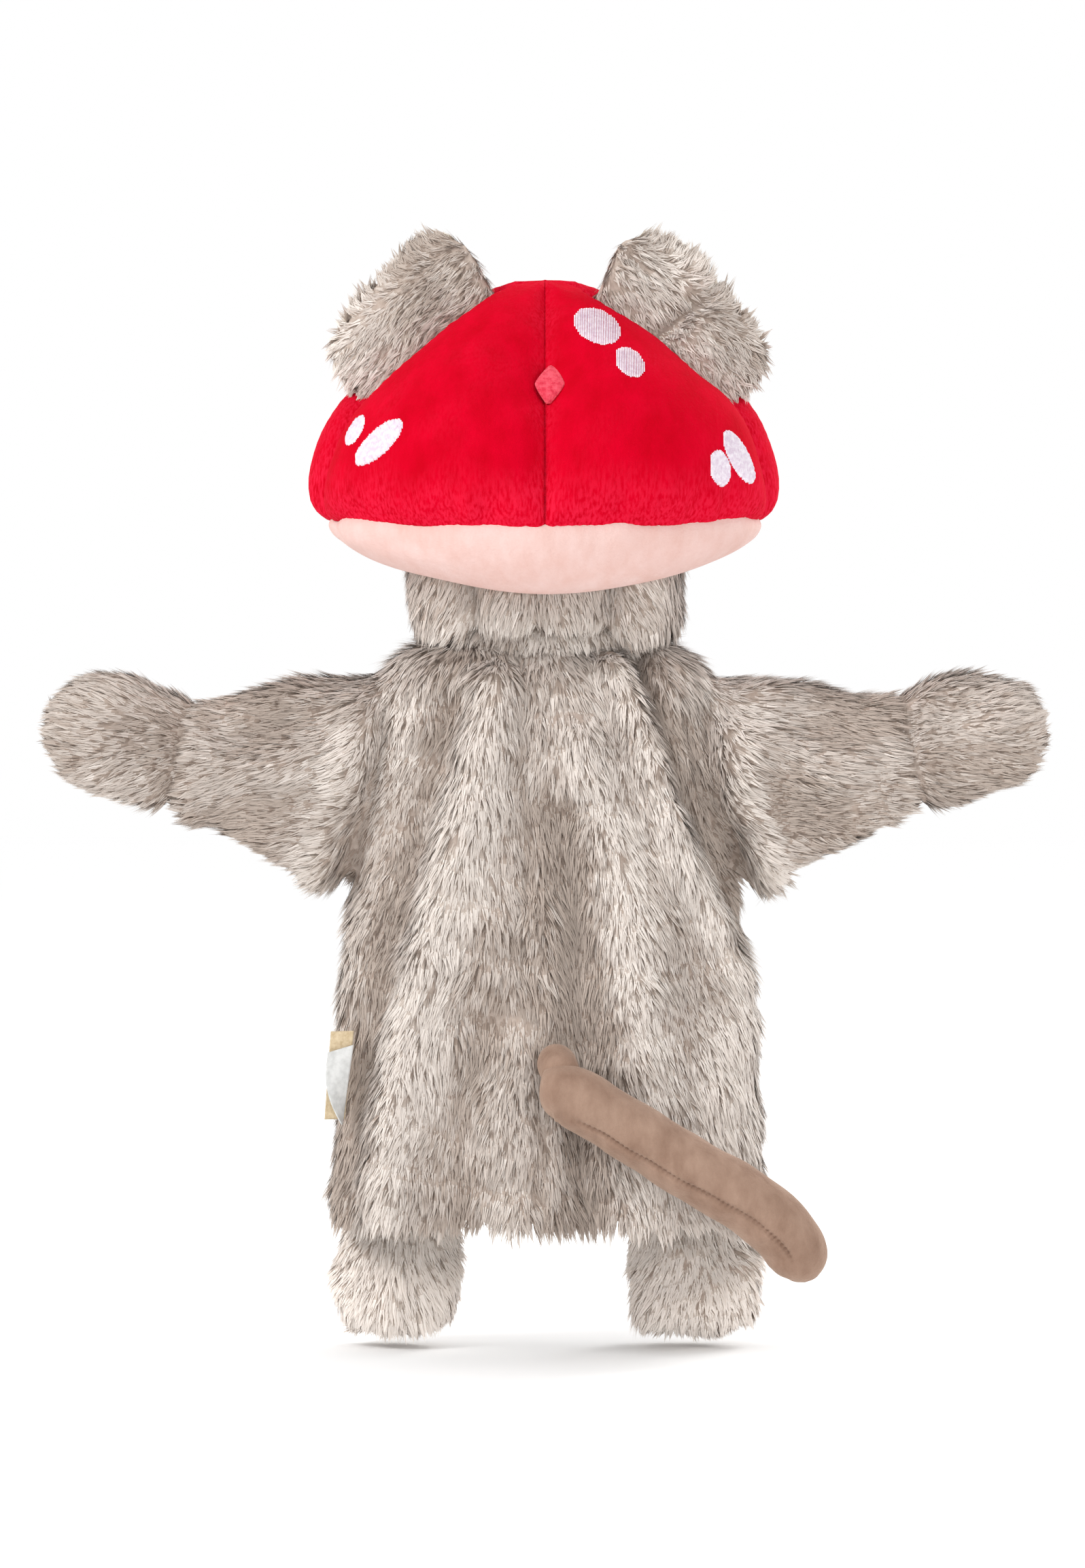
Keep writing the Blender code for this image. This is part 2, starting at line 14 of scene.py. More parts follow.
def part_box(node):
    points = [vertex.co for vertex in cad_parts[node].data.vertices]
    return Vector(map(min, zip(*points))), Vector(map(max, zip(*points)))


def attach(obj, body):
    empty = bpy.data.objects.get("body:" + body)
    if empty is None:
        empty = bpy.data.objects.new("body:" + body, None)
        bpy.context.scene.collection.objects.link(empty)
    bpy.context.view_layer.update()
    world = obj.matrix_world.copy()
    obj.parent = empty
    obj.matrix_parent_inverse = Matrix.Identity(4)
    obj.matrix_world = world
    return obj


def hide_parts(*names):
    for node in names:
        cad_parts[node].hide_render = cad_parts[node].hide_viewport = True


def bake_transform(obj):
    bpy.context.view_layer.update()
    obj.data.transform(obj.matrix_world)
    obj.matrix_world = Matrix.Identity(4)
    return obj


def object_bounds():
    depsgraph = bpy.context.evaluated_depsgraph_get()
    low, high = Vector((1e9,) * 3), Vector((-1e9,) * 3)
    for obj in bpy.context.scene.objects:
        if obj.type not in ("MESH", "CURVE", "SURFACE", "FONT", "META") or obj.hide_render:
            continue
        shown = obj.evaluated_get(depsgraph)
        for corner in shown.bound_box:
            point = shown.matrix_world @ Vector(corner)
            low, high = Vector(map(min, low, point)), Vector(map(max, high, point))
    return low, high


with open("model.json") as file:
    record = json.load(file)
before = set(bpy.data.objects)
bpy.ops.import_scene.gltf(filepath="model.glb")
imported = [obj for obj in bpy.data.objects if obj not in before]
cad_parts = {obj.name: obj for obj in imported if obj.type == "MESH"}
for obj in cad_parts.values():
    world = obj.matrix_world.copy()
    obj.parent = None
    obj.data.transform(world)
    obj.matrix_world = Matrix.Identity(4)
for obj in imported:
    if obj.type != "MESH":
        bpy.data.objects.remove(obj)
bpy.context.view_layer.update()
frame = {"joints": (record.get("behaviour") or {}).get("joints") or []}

SIDES = ((1, "left"), (-1, "right"))
TORSO_HEIGHT = 165            # of the CAD torso, in pattern millimetres
TORSO_LOW, TORSO_HIGH = (np.array(corner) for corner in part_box("front_panel"))
MM = float(TORSO_HIGH[2] - TORSO_LOW[2]) / TORSO_HEIGHT
PIVOTS = {joint["name"]: np.array(joint.get("pos_m", (0, 0, 0))) / MM
          for joint in frame["joints"]}


# ---------------------------------------------------------------- materials

def linear(red, green, blue):
    """A screen colour from 0 to 255 as linear light."""
    found = []
    for value in (red, green, blue):
        share = value / 255
        found.append(share / 12.92 if share <= 0.04045 else ((share + 0.055) / 1.055) ** 2.4)
    return (*found, 1.0)


def plain(name, colour, roughness=0.9, sheen=0.0, tint=(1, 1, 1, 1), shine=0.2):
    made = bpy.data.materials.new(name)
    made.use_nodes = True
    for socket, value in (("Base Color", colour), ("Roughness", roughness),
                          ("Specular IOR Level", shine), ("Sheen Weight", sheen),
                          ("Sheen Roughness", 0.45), ("Sheen Tint", tint)):
        shader_of(made).inputs[socket].default_value = value
    return made


def node(made, kind, **values):
    found = made.node_tree.nodes.new(kind)
    for key, value in values.items():
        if key in found.inputs:
            found.inputs[key].default_value = value
        else:
            setattr(found, key, value)
    return found


def shader_of(made):
    return made.node_tree.nodes["Principled BSDF"]


def noise(made, scale, detail, roughness=0.6, stretch=(1, 1, 1)):
    """Noise over the object, as a socket; it runs longer where stretch is less than 1."""
    links = made.node_tree.links
    place = node(made, "ShaderNodeTexCoord")
    stretcher = node(made, "ShaderNodeMapping", Scale=stretch)
    grain = node(made, "ShaderNodeTexNoise", Scale=scale, Detail=detail, Roughness=roughness)
    links.new(place.outputs["Object"], stretcher.inputs["Vector"])
    links.new(stretcher.outputs["Vector"], grain.inputs["Vector"])
    return grain.outputs["Fac"]


def mottle(made, dark, light, scale, detail=4.0, stretch=(1, 1, 1), low=0.35, high=0.65):
    """Drive the base colour by noise between two colours."""
    links = made.node_tree.links
    ramp = node(made, "ShaderNodeValToRGB")
    for element, position, colour in zip(ramp.color_ramp.elements, (low, high), (dark, light)):
        element.position = position
        element.color = colour
    links.new(noise(made, scale, detail, stretch=stretch), ramp.inputs["Fac"])
    links.new(ramp.outputs["Color"], shader_of(made).inputs["Base Color"])


def mottled(name, base, dark, light, scale, roughness=0.95, sheen=0.0):
    made = plain(name, linear(*base), roughness, sheen)
    mottle(made, linear(*dark), linear(*light), scale)
    return made


def bump(made, height, strength, distance):
    links = made.node_tree.links
    relief = node(made, "ShaderNodeBump", Strength=strength, Distance=distance)
    links.new(height, relief.inputs["Height"])
    links.new(relief.outputs["Normal"], shader_of(made).inputs["Normal"])


def velboa(name, dark, light, sheen, tint, painted_sheen_colour=None):
    """Short dense pile: mottled colour, a fine nap in the relief, and painted sheen: streaks of a
    lighter colour where the mesh's nap attribute is high."""
    dark, light, tint = linear(*dark), linear(*light), linear(*tint)
    made = plain(name, light, 0.85, sheen, tint, 0.03)
    links = made.node_tree.links
    mottle(made, dark, light, 160, 6, (1, 1, 0.5), 0.3, 0.7)
    bump(made, noise(made, 900, 3.0, 0.7), 0.55, 0.0006)
    # painted sheen: a lighter colour mixed in by the nap attribute and a streaky noise
    if painted_sheen_colour:
        colour = shader_of(made).inputs["Base Color"]
        base = colour.links[0].from_socket
        painted_sheen_share = node(made, "ShaderNodeAttribute", attribute_name="nap")
        streak = noise(made, 1400, 2.0, 0.5, (1, 1, 0.25))
        spread = node(made, "ShaderNodeMapRange", **{"From Min": 0.36, "From Max": 0.6})
        share = node(made, "ShaderNodeMath", operation="MULTIPLY")
        mix = node(made, "ShaderNodeMix", data_type="RGBA")
        factor, first, second, mixed = mix.inputs[0], mix.inputs[6], mix.inputs[7], mix.outputs[2]
        links.new(streak, spread.inputs["Value"])
        links.new(painted_sheen_share.outputs["Fac"], share.inputs[0])
        links.new(spread.outputs["Result"], share.inputs[1])
        links.new(share.outputs["Value"], factor)
        links.new(base, first)
        second.default_value = linear(*painted_sheen_colour)
        links.new(mixed, colour)
    return made


def woven(name, dark, light, pitch):
    """Crossed threads: two waves make the over and under of a plain weave."""
    made = plain(name, linear(*light), 0.8, 0.2)
    links = made.node_tree.links
    mottle(made, linear(*dark), linear(*light), 700, 3)
    place = node(made, "ShaderNodeTexCoord")
    both = node(made, "ShaderNodeMath", operation="MULTIPLY")
    for index, direction in enumerate("XZ"):
        wave = node(made, "ShaderNodeTexWave", Scale=pitch, Distortion=0.4)
        wave.bands_direction = direction
        links.new(place.outputs["Object"], wave.inputs["Vector"])
        links.new(wave.outputs["Fac"], both.inputs[index])
    bump(made, both.outputs["Value"], 0.7, 0.0003)
    return made


def pile_shades(name, family):
    """Shades for hair meshes: for each family a darker lower shade, painted shade between the
    locks, and a tip shade.
    """
    return [plain(f"{name}_{i}", linear(*shade), 0.95, 0.25) for i, shade in enumerate(family)]


# Shades of each family of locks, darkest family first: lower part, painted darker as the shade
# between the locks, then tip
GREY = [(160, 143, 131), (184, 170, 159), (179, 163, 151), (204, 193, 184),
        (198, 185, 174), (225, 216, 208)]
# the same layout; the lower shades are painted shade
CREAM = [(205, 190, 168), (240, 231, 216), (214, 200, 180), (246, 239, 227),
         (222, 210, 192), (250, 245, 236)]
# painted light: the feet's pile shades are lighter copies of the grey ones, against the shade the
# feet stand in near the floor
FOOT_PAINTED_LIGHT = 20
grey_pile = pile_shades("grey_pile", GREY)
foot_pile = pile_shades("foot_pile", [tuple(c + FOOT_PAINTED_LIGHT for c in shade) for shade in GREY])
cream_pile = pile_shades("cream_pile", CREAM)
grey_skin = mottled("grey_backing", (180, 163, 152), (168, 151, 139), (192, 177, 166), 300)
cream_skin = mottled("cream_backing", (214, 198, 176), (200, 184, 160), (226, 212, 192), 300)
lining_cloth = woven("lining_cloth", (178, 166, 152), (205, 195, 182), 900)
# the last colour of the red velboa is its painted sheen
red = velboa("red_velboa", (186, 0, 24), (204, 0, 34), 0.08, (255, 40, 80), (216, 26, 56))
pink = velboa("pink_velboa", (214, 176, 167), (223, 193, 187), 0.25, (255, 226, 216))
brown = velboa("brown_velboa", (134, 107, 91), (162, 135, 118), 0.4, (230, 210, 195))
rose = velboa("rose_velboa", (214, 120, 122), (232, 148, 148), 0.4, (255, 255, 255))
tape_cloth = woven("tape_cloth", (208, 184, 146), (232, 212, 178), 1300)
loop_cloth = woven("loop_cloth", (226, 40, 70), (255, 92, 112), 1100)
satin_cloth = mottled("satin_cloth", (204, 204, 201), (192, 192, 190), (212, 212, 210), 500,
                      0.42, 0.1)
white_thread = mottled("white_thread", (238, 228, 238), (222, 204, 220), (246, 240, 246), 900,
                       0.45, 0.3)
dark_thread = mottled("dark_thread", (46, 38, 36), (34, 27, 26), (60, 50, 46), 900, 0.4, 0.2)


# ---------------------------------------------------------------- mesh tools

def show(name, data):
    made = bpy.data.objects.new(name, data)
    bpy.context.scene.collection.objects.link(made)
    return made


def mesh_object(name, points, faces, materials=(), slots=None):
    """A smooth-shaded object from points in pattern millimetres."""
    mesh = bpy.data.meshes.new(name)
    points = np.asarray(points, np.float32) * MM
    if isinstance(faces, np.ndarray):
        mesh.vertices.add(len(points))
        mesh.vertices.foreach_set("co", points.ravel())
        mesh.loops.add(faces.size)
        mesh.loops.foreach_set("vertex_index", faces.astype(np.int32).ravel())
        mesh.polygons.add(len(faces))
        starts = np.arange(len(faces), dtype=np.int32) * faces.shape[1]
        mesh.polygons.foreach_set("loop_start", starts)
    else:
        mesh.from_pydata(points.tolist(), [], faces)
    mesh.update()
    for made in materials:
        mesh.materials.append(made)
    if slots is not None:
        mesh.polygons.foreach_set("material_index", np.asarray(slots, np.int32))
    mesh.shade_smooth()
    return show(name, mesh)


def face_out(piece):
    shape = bmesh.new()
    shape.from_mesh(piece.data)
    bmesh.ops.recalc_face_normals(shape, faces=shape.faces)
    shape.to_mesh(piece.data)
    shape.free()
    return piece


def strips(first, second, wrap=True):
    """Quads between two rows of point numbers."""
    count = len(first)
    last = count if wrap else count - 1
    return [(first[i], first[(i + 1) % count], second[(i + 1) % count], second[i])
            for i in range(last)]


def ridge(base, sections):
    """Faces of one raised thread, whose cross-sections have three points each."""
    return [(corner, corner + 1, corner + 4, corner + 3)
            for k in range(sections - 1) for corner in (base + 3 * k, base + 3 * k + 1)]


def loft(name, rings, materials, tips=(None, None), closed=True):
    """A tube through rings of points; when closed, fans run to the tips or ring middles."""
    width = len(rings[0])
    points = [tuple(p) for ring in rings for p in ring]
    rows = [list(range(r * width, (r + 1) * width)) for r in range(len(rings))]
    faces = []
    for low, high in zip(rows, rows[1:]):
        faces += strips(low, high)
    for row, tip in ((rows[0], tips[0]), (rows[-1], tips[1])) if closed else ():
        points.append(tuple(np.mean(np.array(points)[row], axis=0) if tip is None else tip))
        faces += [(row[i], row[(i + 1) % width], len(points) - 1) for i in range(width)]
    return face_out(mesh_object(name, points, faces, materials))


def oval(half_a, half_b, power=2.0, count=48):
    turn = np.linspace(0, 2 * pi, count, endpoint=False)
    ca, sb = np.cos(turn), np.sin(turn)
    return np.stack([half_a * np.sign(ca) * np.abs(ca) ** (2 / power),
                     half_b * np.sign(sb) * np.abs(sb) ** (2 / power)], 1)


def level_ring(z, half_x, half_y, x=0.0, y=0.0, **kind):
    edge = oval(half_x, half_y, **kind)
    return np.column_stack([x + edge[:, 0], y + edge[:, 1], np.full(len(edge), z)])


def upright_ring(x, z, half_z, half_y, **kind):
    edge = oval(half_z, half_y, **kind)
    return np.column_stack([np.full(len(edge), x), edge[:, 1], z + edge[:, 0]])


def smooth_table(stations, count):
    """Stations, whose first value runs along the piece, read at even steps as a curve."""
    table = np.array(stations, float)
    steps = np.linspace(table[0, 0], table[-1, 0], count)
    columns = [steps]
    for column in table.T[1:]:
        slopes = np.gradient(column, table[:, 0])
        where = np.clip(np.searchsorted(table[:, 0], steps) - 1, 0, len(table) - 2)
        width = table[where + 1, 0] - table[where, 0]
        t = (steps - table[where, 0]) / width
        low, high = column[where], column[where + 1]
        columns.append((2 * t ** 3 - 3 * t ** 2 + 1) * low + (t ** 3 - 2 * t ** 2 + t) * width
                       * slopes[where] + (3 * t ** 2 - 2 * t ** 3) * high
                       + (t ** 3 - t ** 2) * width * slopes[where + 1])
    return np.stack(columns, 1)


SIM_SCALE = 50         # cloth is simulated at this many times its size, where the solver is steady
SIM_FRAMES = 26


def puff(piece, pinned, pressure, growth):
    """Blow fabric up between its pinned seams by a cloth simulation, and keep the result."""
    group = piece.vertex_groups.new(name="seam")
    group.add([int(i) for i in set(np.asarray(pinned).tolist())], 1.0, "REPLACE")
    piece.data.transform(Matrix.Scale(SIM_SCALE, 4))
    cloth = piece.modifiers.new("cloth", "CLOTH")
    cloth.collision_settings.use_collision = False
    cloth.point_cache.frame_start, cloth.point_cache.frame_end = 1, SIM_FRAMES
    fabric = {"quality": 5, "mass": 0.05, "air_damping": 3, "tension_stiffness": 14,
              "compression_stiffness": 8, "shear_stiffness": 5, "bending_stiffness": 0.6,
              "vertex_group_mass": "seam", "use_pressure": True,
              "uniform_pressure_force": pressure, "shrink_min": -growth}
    for key, value in fabric.items():
        setattr(cloth.settings, key, value)
    cloth.settings.effector_weights.gravity = 0
    for moment in range(1, SIM_FRAMES + 1):
        bpy.context.scene.frame_set(moment)
    settle(piece)
    piece.data.transform(Matrix.Scale(1 / SIM_SCALE, 4))
    piece.vertex_groups.clear()
    bpy.context.scene.frame_set(1)


def settle(piece):
    """Apply the piece's modifiers to its mesh."""
    graph = bpy.context.evaluated_depsgraph_get()
    fresh = bpy.data.meshes.new_from_object(piece.evaluated_get(graph))
    piece.modifiers.clear()
    piece.data = fresh
    return piece


def modify(piece, kind, **values):
    step = piece.modifiers.new(kind.lower(), kind)
    for key, value in values.items():
        setattr(step, key, value)
    return piece


def fuse(name, solids, voxel, smoothing, materials):
    """Join closed solids into one skin by remeshing, and round the joins off."""
    points, faces = [], []
    for solid in solids:
        base = len(points)
        points += [v.co / MM for v in solid.data.vertices]
        faces += [tuple(base + i for i in p.vertices) for p in solid.data.polygons]
        bpy.data.objects.remove(solid, do_unlink=True)
    joined = mesh_object(name, np.array([tuple(p) for p in points]), faces)
    modify(joined, "REMESH", mode="VOXEL", voxel_size=voxel * MM, use_smooth_shade=True)
    modify(joined, "SMOOTH", factor=0.5, iterations=smoothing)
    settle(joined)
    for made in materials:
        joined.data.materials.append(made)
    return joined


def read(piece):
    """Points, normals (pattern millimetres) and triangles of a mesh."""
    mesh = piece.data
    points = np.zeros(len(mesh.vertices) * 3, np.float32)
    mesh.vertices.foreach_get("co", points)
    normals = np.zeros(len(mesh.vertices) * 3, np.float32)
    mesh.vertices.foreach_get("normal", normals)
    mesh.calc_loop_triangles()
    corners = np.zeros(len(mesh.loop_triangles) * 3, np.int32)
    mesh.loop_triangles.foreach_get("vertices", corners)
    return (points.reshape(-1, 3).astype(float) / MM, normals.reshape(-1, 3).astype(float),
            corners.reshape(-1, 3))


def write(piece, points):
    piece.data.vertices.foreach_set("co", (points * MM).astype(np.float32).ravel())
    piece.data.update()


def press(piece, push):
    """Move a skin's points along their normals by push(points)."""
    points, normals, _ = read(piece)
    write(piece, points + normals * push(points)[:, None])


def part_of(piece, name, keep):
    """A new piece from the faces whose middles pass keep(points)."""
    shape = bmesh.new()
    shape.from_mesh(piece.data)
    middles = np.array([tuple(f.calc_center_median()) for f in shape.faces]) / MM
    passed = keep(middles)
    drop = [f for f, good in zip(shape.faces, passed) if not good]
    bmesh.ops.delete(shape, geom=drop, context="FACES")
    mesh = bpy.data.meshes.new(name)
    shape.to_mesh(mesh)
    shape.free()
    for made in piece.data.materials:
        mesh.materials.append(made)
    mesh.shade_smooth()
    return show(name, mesh)


def bell(values, width):
    return np.exp(-(values / width) ** 2)


def drift(points, size, seed):
    """Smooth noise from about -1 to 1, with features of the given size."""
    rng = np.random.default_rng(seed)
    total = np.zeros(len(points))
    for _ in range(7):
        way = rng.normal(size=3)
        way *= 2 * pi / (size * rng.uniform(1.4, 3.2)) / np.linalg.norm(way)
        total += np.sin(points @ way + rng.uniform(0, 2 * pi))
    return total / 3.2


def ease(values, low, high):
    t = np.clip((values - low) / (high - low), 0, 1)
    return t * t * (3 - 2 * t)


def unit(vectors):
    return vectors / np.maximum(np.linalg.norm(vectors, axis=1, keepdims=True), 1e-9)


# ---------------------------------------------------------------- pile

CLUMP_SPACING = 1.25           # distance between the roots of neighbouring locks
HAIRS_PER_CLUMP = 5
LIFT = 0.27                    # how steeply the nap stands, in radians
WAVE = 0.2                     # how far neighbouring locks turn from the flow
FAMILY_EDGES = (-0.45, 0.35)   # tones between the dark, middle and pale families of locks
ROOT_DEPTH = 0.3               # how far a hair starts inside the skin


def sample(piece, per_mm2, rng, keep=None):
    """Random points on a mesh with their normals."""
    points, normals, corners = read(piece)
    a, b, c = (points[corners[:, i]] for i in range(3))
    areas = np.linalg.norm(np.cross(b - a, c - a), axis=1) / 2
    if keep is not None:
        areas = areas * keep((a + b + c) / 3)
    count = int(areas.sum() * per_mm2)
    chosen = rng.choice(len(corners), count, p=areas / areas.sum())
    u, v = rng.random(count), rng.random(count)
    flip = u + v > 1
    u[flip], v[flip] = 1 - u[flip], 1 - v[flip]
    w = 1 - u - v
    picked = corners[chosen]
    share = np.stack([u, v, w], 1)[:, :, None]
    return ((points[picked] * share).sum(1), unit((normals[picked] * share).sum(1)))


def pile(name, piece, flow, shades, seed, length, width=0.5, spacing=CLUMP_SPACING, curl=0.0,
         keep=None, painted_light=None):
    """Locks of hair on a skin: each lock's hairs start apart and lean to one tip.

    flow(points) is the way the nap is brushed, keep(points) is where it grows, and the last
    argument, a function of points, moves the locks towards the lighter shades: painted light, or
    painted shade where it is negative."""
    rng = np.random.default_rng(seed)
    roots, normals = sample(piece, 1 / spacing ** 2, rng, keep)
    count = len(roots)
    brushed = flow(roots)
    brushed -= normals * (brushed * normals).sum(1, keepdims=True)
    brushed = unit(brushed)
    side = np.cross(normals, brushed)
    turn = WAVE * drift(roots, 9, seed + 1) + 0.3 * WAVE * drift(roots, 3, seed + 2)
    turn = turn + rng.normal(0, 0.08 + curl, count)
    way = brushed * np.cos(turn)[:, None] + side * np.sin(turn)[:, None]
    side = np.cross(normals, way)
    reach = length * (0.72 + 0.5 * rng.random(count)) * (1 + 0.15 * drift(roots, 16, seed + 3))
    rise = np.clip(LIFT + 0.1 * drift(roots, 12, seed + 4) + rng.normal(0, 0.06, count), 0.12, 1.2)
    tips = way * (reach * np.cos(rise))[:, None] + normals * (reach * np.sin(rise))[:, None]
    tone = 0.55 * drift(roots, 24, seed + 5) + 0.2 * drift(roots, 5, 9) \
        + 0.25 * rng.normal(size=count)
    # painted light and shade move each lock's tone between the families
    if painted_light is not None:
        tone = tone + painted_light(roots)
    family = np.digitize(tone, FAMILY_EDGES)

    def spread(values):
        return np.repeat(values, HAIRS_PER_CLUMP, axis=0)

    total = count * HAIRS_PER_CLUMP
    ring = np.sqrt(rng.random(total)) * spacing * 0.75
    bearing = rng.random(total) * 2 * pi
    n, t, s = spread(normals), spread(way), spread(side)
    apart = t * (ring * np.cos(bearing))[:, None] + s * (ring * np.sin(bearing))[:, None]
    start = spread(roots) + apart - n * ROOT_DEPTH
    size = (0.8 + 0.4 * rng.random(total))[:, None]
    lean = spread(tips) * size
    end = spread(roots) + apart * 0.45 + lean
    height = (lean * n).sum(1, keepdims=True)
    along = lean - n * height
    bend = s * (rng.normal(0, 0.2 + curl, total) * length * 0.22)[:, None]
    middle = start + along * 0.45 + n * height * 0.62 + bend
    blade = unit(s + n * rng.normal(0, 0.08, total)[:, None])
    half = (width * (0.7 + 0.6 * rng.random(total)) / 2)[:, None]
    points = np.stack([start - blade * half, start + blade * half, middle - blade * half * 0.9,
                       middle + blade * half * 0.9, end], 1).reshape(-1, 3)
    base = (np.arange(total) * 5)[:, None]
    faces = np.stack([base + [0, 3, 1], base + [0, 2, 3], base + [2, 4, 3]], 1).reshape(-1, 3)
    # the lower part of each hair takes the darker shade: painted shade at the roots
    lower = spread(family) * 2
    slots = np.stack([lower, lower, lower + 1], 1).ravel()
    return mesh_object(name, points, faces, shades, slots)


# ---------------------------------------------------------------- body

# Stations of the body. Torso: height, half width, half depth. Sleeve and paw: distance out,
# middle height, half height, half depth
TORSO = ((-4, 60, 21.5), (0, 60.4, 22), (17, 61.4, 23), (57, 58.6, 23), (94, 55, 22),
         (127, 52, 21), (148, 50, 19.5), (156, 47.5, 17.5), (162, 43, 14.5), (166, 37, 11))
SLEEVE = ((18, 128, 22, 11), (40, 127.8, 28.4, 12.6), (60, 126.8, 28.8, 13),
          (74, 128.3, 26.2, 12.8), (86.4, 129.9, 23.6, 12), (96, 131.2, 20.4, 11),
          (103, 132.6, 17.6, 10), (106, 133.2, 14, 8.6))
PAW = ((98, 133.8, 12.6, 8.4), (103, 134.6, 15.2, 9.8), (109, 136, 17, 10.8),
       (117.5, 137.6, 18.4, 11.8), (126.8, 139.4, 17.2, 11.8), (133, 140.4, 15, 10.6),
       (138.5, 140.6, 11.2, 8.2), (141.6, 140.8, 6, 4.6))
PAW_TIP = (142.6, 137.6)
# Folds of the back: height and sideways place along each crest, then its width and height
FOLDS = (
    (((0, 45), (62, 37), (105, 26), (125, 20), (154, 15)), 8, 4.6),
    (((0, 58), (62, 48), (105, 37), (150, 26)), 6, -3.6),
    (((0, 2), (52, 1), (86, 8), (101, 5), (130, 7), (161, 7)), 2.6, -1.2),
    (((0, -13), (40, -11), (62, -9), (91, -8), (120, -5)), 8, -5.0),
    (((0, -34), (50, -30), (100, -20), (140, -10)), 7, 2.6),
    (((60, -60), (76, -54), (91, -47), (110, -38), (130, -32.5), (143, -28), (159, -20)),
     5, 3.6),
    (((90, -55), (120, -40), (144, -31.5), (164, -25)), 3.4, -4.6),
    (((70, -64), (98, -57), (112, -50), (126, -45), (143, -40)), 2, -2.4),
    (((0, -50), (20, -48), (40, -52), (58, -56)), 7, 2.8),
    (((0, 20), (18, 24), (40, 22), (60, 18)), 7, -2.2),
)
FRONT_FOLDS = FOLDS[:2] + FOLDS[3:6]     # these cross to the front, mirrored and lower
FOLD_PRESS = 1.25                        # how far the skin follows the folds
FOLD_PAINTED_SHADE = 0.36                        # how far the pile's painted shade follows them: darker in the valleys, paler along the crests


def body_solids():
    """Closed tubes for the torso, then each side's sleeve and paw."""
    rings = [level_ring(z, a, b, power=2.3, count=64) for z, a, b in smooth_table(TORSO, 40)]
    solids = [loft("torso_solid", rings, ())]
    for side, _ in SIDES:
        paw_tip = (side * PAW_TIP[0], 0, PAW_TIP[1])
        for stations, count, power, tip in ((SLEEVE, 26, 2.3, None), (PAW, 20, 2.1, paw_tip)):
            rings = [upright_ring(side * x, z, h, d, power=power)
                     for x, z, h, d in smooth_table(stations, count)]
            solids.append(loft("limb_solid", rings, (), tips=(None, tip)))
    return solids


def crest(points, track):
    """How far each point lies sideways of a fold's crest, and 1 where the fold runs."""
    heights, places = np.array(track).T
    off = points[:, 0] - np.interp(points[:, 2], heights, places)
    runs = ease(points[:, 2], heights[0] - 22, heights[0]) if heights[0] > 0 else 1.0
    runs = runs * (1 - ease(points[:, 2], heights[-1], heights[-1] + 8))
    return off, runs


def armhole(points):
    """Distance from the armhole seam, in the puppet's plane."""
    place = np.interp(points[:, 2], (90, 96, 120, 163), (60, 57, 49, 44))
    return np.abs(points[:, 0]) - place


def fold_height(points, ahead, behind):
    """Relief of the folds, weighted by how far each point faces ahead or behind."""
    push = np.zeros(len(points))
    for track, width, height in FOLDS:
        off, runs = crest(points, track)
        push += behind * runs * height * bell(off, width)
    for track, width, height in FRONT_FOLDS:
        off, runs = crest(points * (-1, 1, 1), track)
        push += ahead * runs * 0.7 * height * bell(off, width)
    seam = armhole(points)
    arm = ease(points[:, 2], 88, 98) * (1 - ease(points[:, 2], 140, 156))
    push -= arm * 2.4 * bell(seam, 1.8)
    push += arm * 2.2 * bell(seam - 7, 4.5)
    outside = np.abs(points[:, 0])
    sleeve = ease(outside, 56, 66) * (1 - ease(outside, 94, 102))
    slant = points[:, 2] - 128 + 0.35 * (outside - 75)
    push += sleeve * 1.6 * np.sin(slant / 7.5)
    hollow = np.hypot((outside - 76) / 15, (points[:, 2] - 141 + 0.3 * (outside - 76)) / 7)
    push -= sleeve * 3.4 * behind * bell(hollow, 1)
    pit = np.hypot((outside - 55) / 5, (points[:, 2] - 108) / 12)
    push -= 3.4 * behind * bell(pit, 1)
    return push


def facing(normals):
    """How far each point faces ahead and behind, from 0 to 1."""
    return np.clip(-normals[:, 1] * 1.6, 0, 1), np.clip(normals[:, 1] * 1.6, 0, 1)


def shape_body(skin):
    """Press the folds, armhole seams and loose waves into the body skin."""
    points, normals, _ = read(skin)
    push = FOLD_PRESS * fold_height(points, *facing(normals))
    wrist = np.abs(points[:, 0]) - (104 - (points[:, 2] - 134) * 0.22)
    push -= 2.2 * bell(wrist, 1.6) + 0.9 * bell(wrist + 12, 4)
    push += 1.1 * drift(points, 12, 5) + 0.5 * drift(points, 5, 6)
    rim = 1 - ease(points[:, 2], 0, 9)
    push += rim * 1.1 * np.sin(points[:, 0] / 5.2) * np.abs(normals[:, 1])
    write(skin, points + normals * push[:, None])


def painted_fold_shade(points):
    """Painted shade on the pile: darker in the valleys and over the sleeves, paler along the
    crests.
    """
    behind = (points[:, 1] > 0).astype(float)
    sleeve = ease(np.abs(points[:, 0]), 56, 80)
    return FOLD_PAINTED_SHADE * fold_height(points, 1 - behind, behind) - 0.5 * sleeve


def blend_share(side, start, end):
    """How far along the line from start to end a point lies, for either side."""
    low, high = np.array(start, float), np.array(end, float)
    way = high - low

    def share(points):
        mirrored = points * (side, 1, 1)
        return ((mirrored - low) @ way) / (way @ way)

    return share


# Lines at the joints, on the left side; the body's skin is cut by how far along the first and the
# last its points lie
SWING_BEND = ((42, 0, 100), (64, 0, 108))
LIFT_BEND = ((64, 0, 108), (90.4, 0, 117.6))
PAW_BEND = ((100, 0, 135), (118, 0, 137))
HEM = 0.6                                # height at which the body is cut open
BACKING = 1.7                            # thickness of the plush's backing


